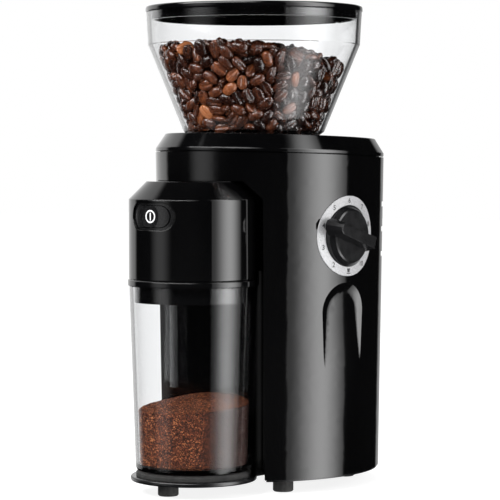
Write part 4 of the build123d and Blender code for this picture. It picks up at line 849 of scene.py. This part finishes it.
def text_mesh(text, size, thick):
    """Vertices (x, y) and faces of a word, centred, with x to its right and y up."""
    curve = bpy.data.curves.new("text", "FONT")
    curve.body = text
    curve.size = size
    curve.offset = thick
    curve.align_x, curve.align_y = "CENTER", "CENTER"
    holder = bpy.data.objects.new("text", curve)
    mesh = bpy.data.meshes.new_from_object(holder)
    points = [(v.co.x, v.co.y) for v in mesh.vertices]
    faces = [tuple(p.vertices) for p in mesh.polygons]
    bpy.data.objects.remove(holder)
    bpy.data.curves.remove(curve)
    bpy.data.meshes.remove(mesh)
    return points, faces


def band(points_out, points_in):
    """Points and faces of a closed band between two rings of equal length."""
    count = len(points_out)
    faces = [(i, (i + 1) % count, count + (i + 1) % count, count + i) for i in range(count)]
    return points_out + points_in, faces


def on_surface(node, origin, direction):
    """Function that moves a point, given from origin, along a direction onto a CAD node."""
    tree = surface_of(node)

    def drop(point):
        hit = tree.ray_cast(origin + point, direction)[0]
        return hit - direction * PRINT_LIFT

    return drop


DIAL_MARKS = ("2", "3", "4", "5", "6", "7", "8", "9", "10")
DIAL_STEP = 36              # degrees between marks
DIAL_MARK_RADIUS = 19.9 * MM
DIAL_MARK_SIZE, DIAL_MARK_WEIGHT = 3.9 * MM, 0.07 * MM
DIAL_RAY_START = 0.1        # X outside the dial
# Outlines of the cup and of its saucer, in millimetres from the sign's middle.
CUP_SIGN = ((-0.8, -0.7), (0.8, -0.7), (1.3, 1.5), (-1.3, 1.5))
SAUCER_SIGN = ((-1.6, -1.5), (1.6, -1.5), (1.6, -1.0), (-1.6, -1.0))


def make_dial_marks():
    """Upright numerals round the dial, and a cup sign at the bottom."""
    drop = on_surface("dial_ring", Vector((DIAL_RAY_START, 0, 0)), Vector((-1, 0, 0)))
    vertices, faces = [], []

    def stamp(points, polygons, angle):
        """Adds a mark at an angle, clockwise from the bottom as seen from outside."""
        turn = math.radians(angle)
        out = Vector((0, -math.sin(turn), -math.cos(turn)))
        centre = Vector((0, KNOB_AXIS.y, KNOB_AXIS.z)) + out * DIAL_MARK_RADIUS
        base = len(vertices)
        vertices.extend(drop(centre + Vector((0, x, y))) for x, y in points)
        faces.extend(tuple(base + i for i in polygon) for polygon in polygons)

    for number, text in enumerate(DIAL_MARKS, start=1):
        points, polygons = text_mesh(text, DIAL_MARK_SIZE, DIAL_MARK_WEIGHT)
        stamp(points, polygons, DIAL_STEP * number)
    sign = [(x * MM, y * MM) for x, y in CUP_SIGN + SAUCER_SIGN]
    stamp(sign, [(0, 1, 2, 3), (4, 5, 6, 7)], 0)
    new_piece("dial_numerals", vertices, faces, printed("black_ink", (0.015, 0.015, 0.016), 0.5),
              "housing", smooth=False)


# Outer radius of the ring, width of its line, and half the bar's height.
SYMBOL_RADIUS, SYMBOL_STROKE, SYMBOL_BAR = 3.6 * MM, 0.8 * MM, 2.1 * MM
SYMBOL_SIDES = 48
BUTTON_RAY_START = -0.2     # Y in front of the button


def make_power_symbol():
    """Ring with an upright bar, printed on the button."""
    centre = middle("power_button")
    origin = Vector((centre.x, BUTTON_RAY_START, centre.z))
    drop = on_surface("power_button", origin, Vector((0, 1, 0)))
    turns = [2 * math.pi * i / SYMBOL_SIDES for i in range(SYMBOL_SIDES)]
    rings = [[(radius * math.cos(t), radius * math.sin(t)) for t in turns]
             for radius in (SYMBOL_RADIUS, SYMBOL_RADIUS - SYMBOL_STROKE)]
    points, faces = band(*rings)
    half = SYMBOL_STROKE / 2
    base = len(points)
    points += [(-half, -SYMBOL_BAR), (half, -SYMBOL_BAR), (half, SYMBOL_BAR), (-half, SYMBOL_BAR)]
    faces.append((base, base + 1, base + 2, base + 3))
    vertices = [drop(Vector((x, 0, z))) for x, z in points]
    new_piece("power_symbol", vertices, faces, printed("white_ink", (0.85, 0.85, 0.86), 0.5),
              "power_button", smooth=False)


make_camera()
make_studio()
finish_nodes()
make_beans()
make_grounds()
make_dial_marks()
make_power_symbol()
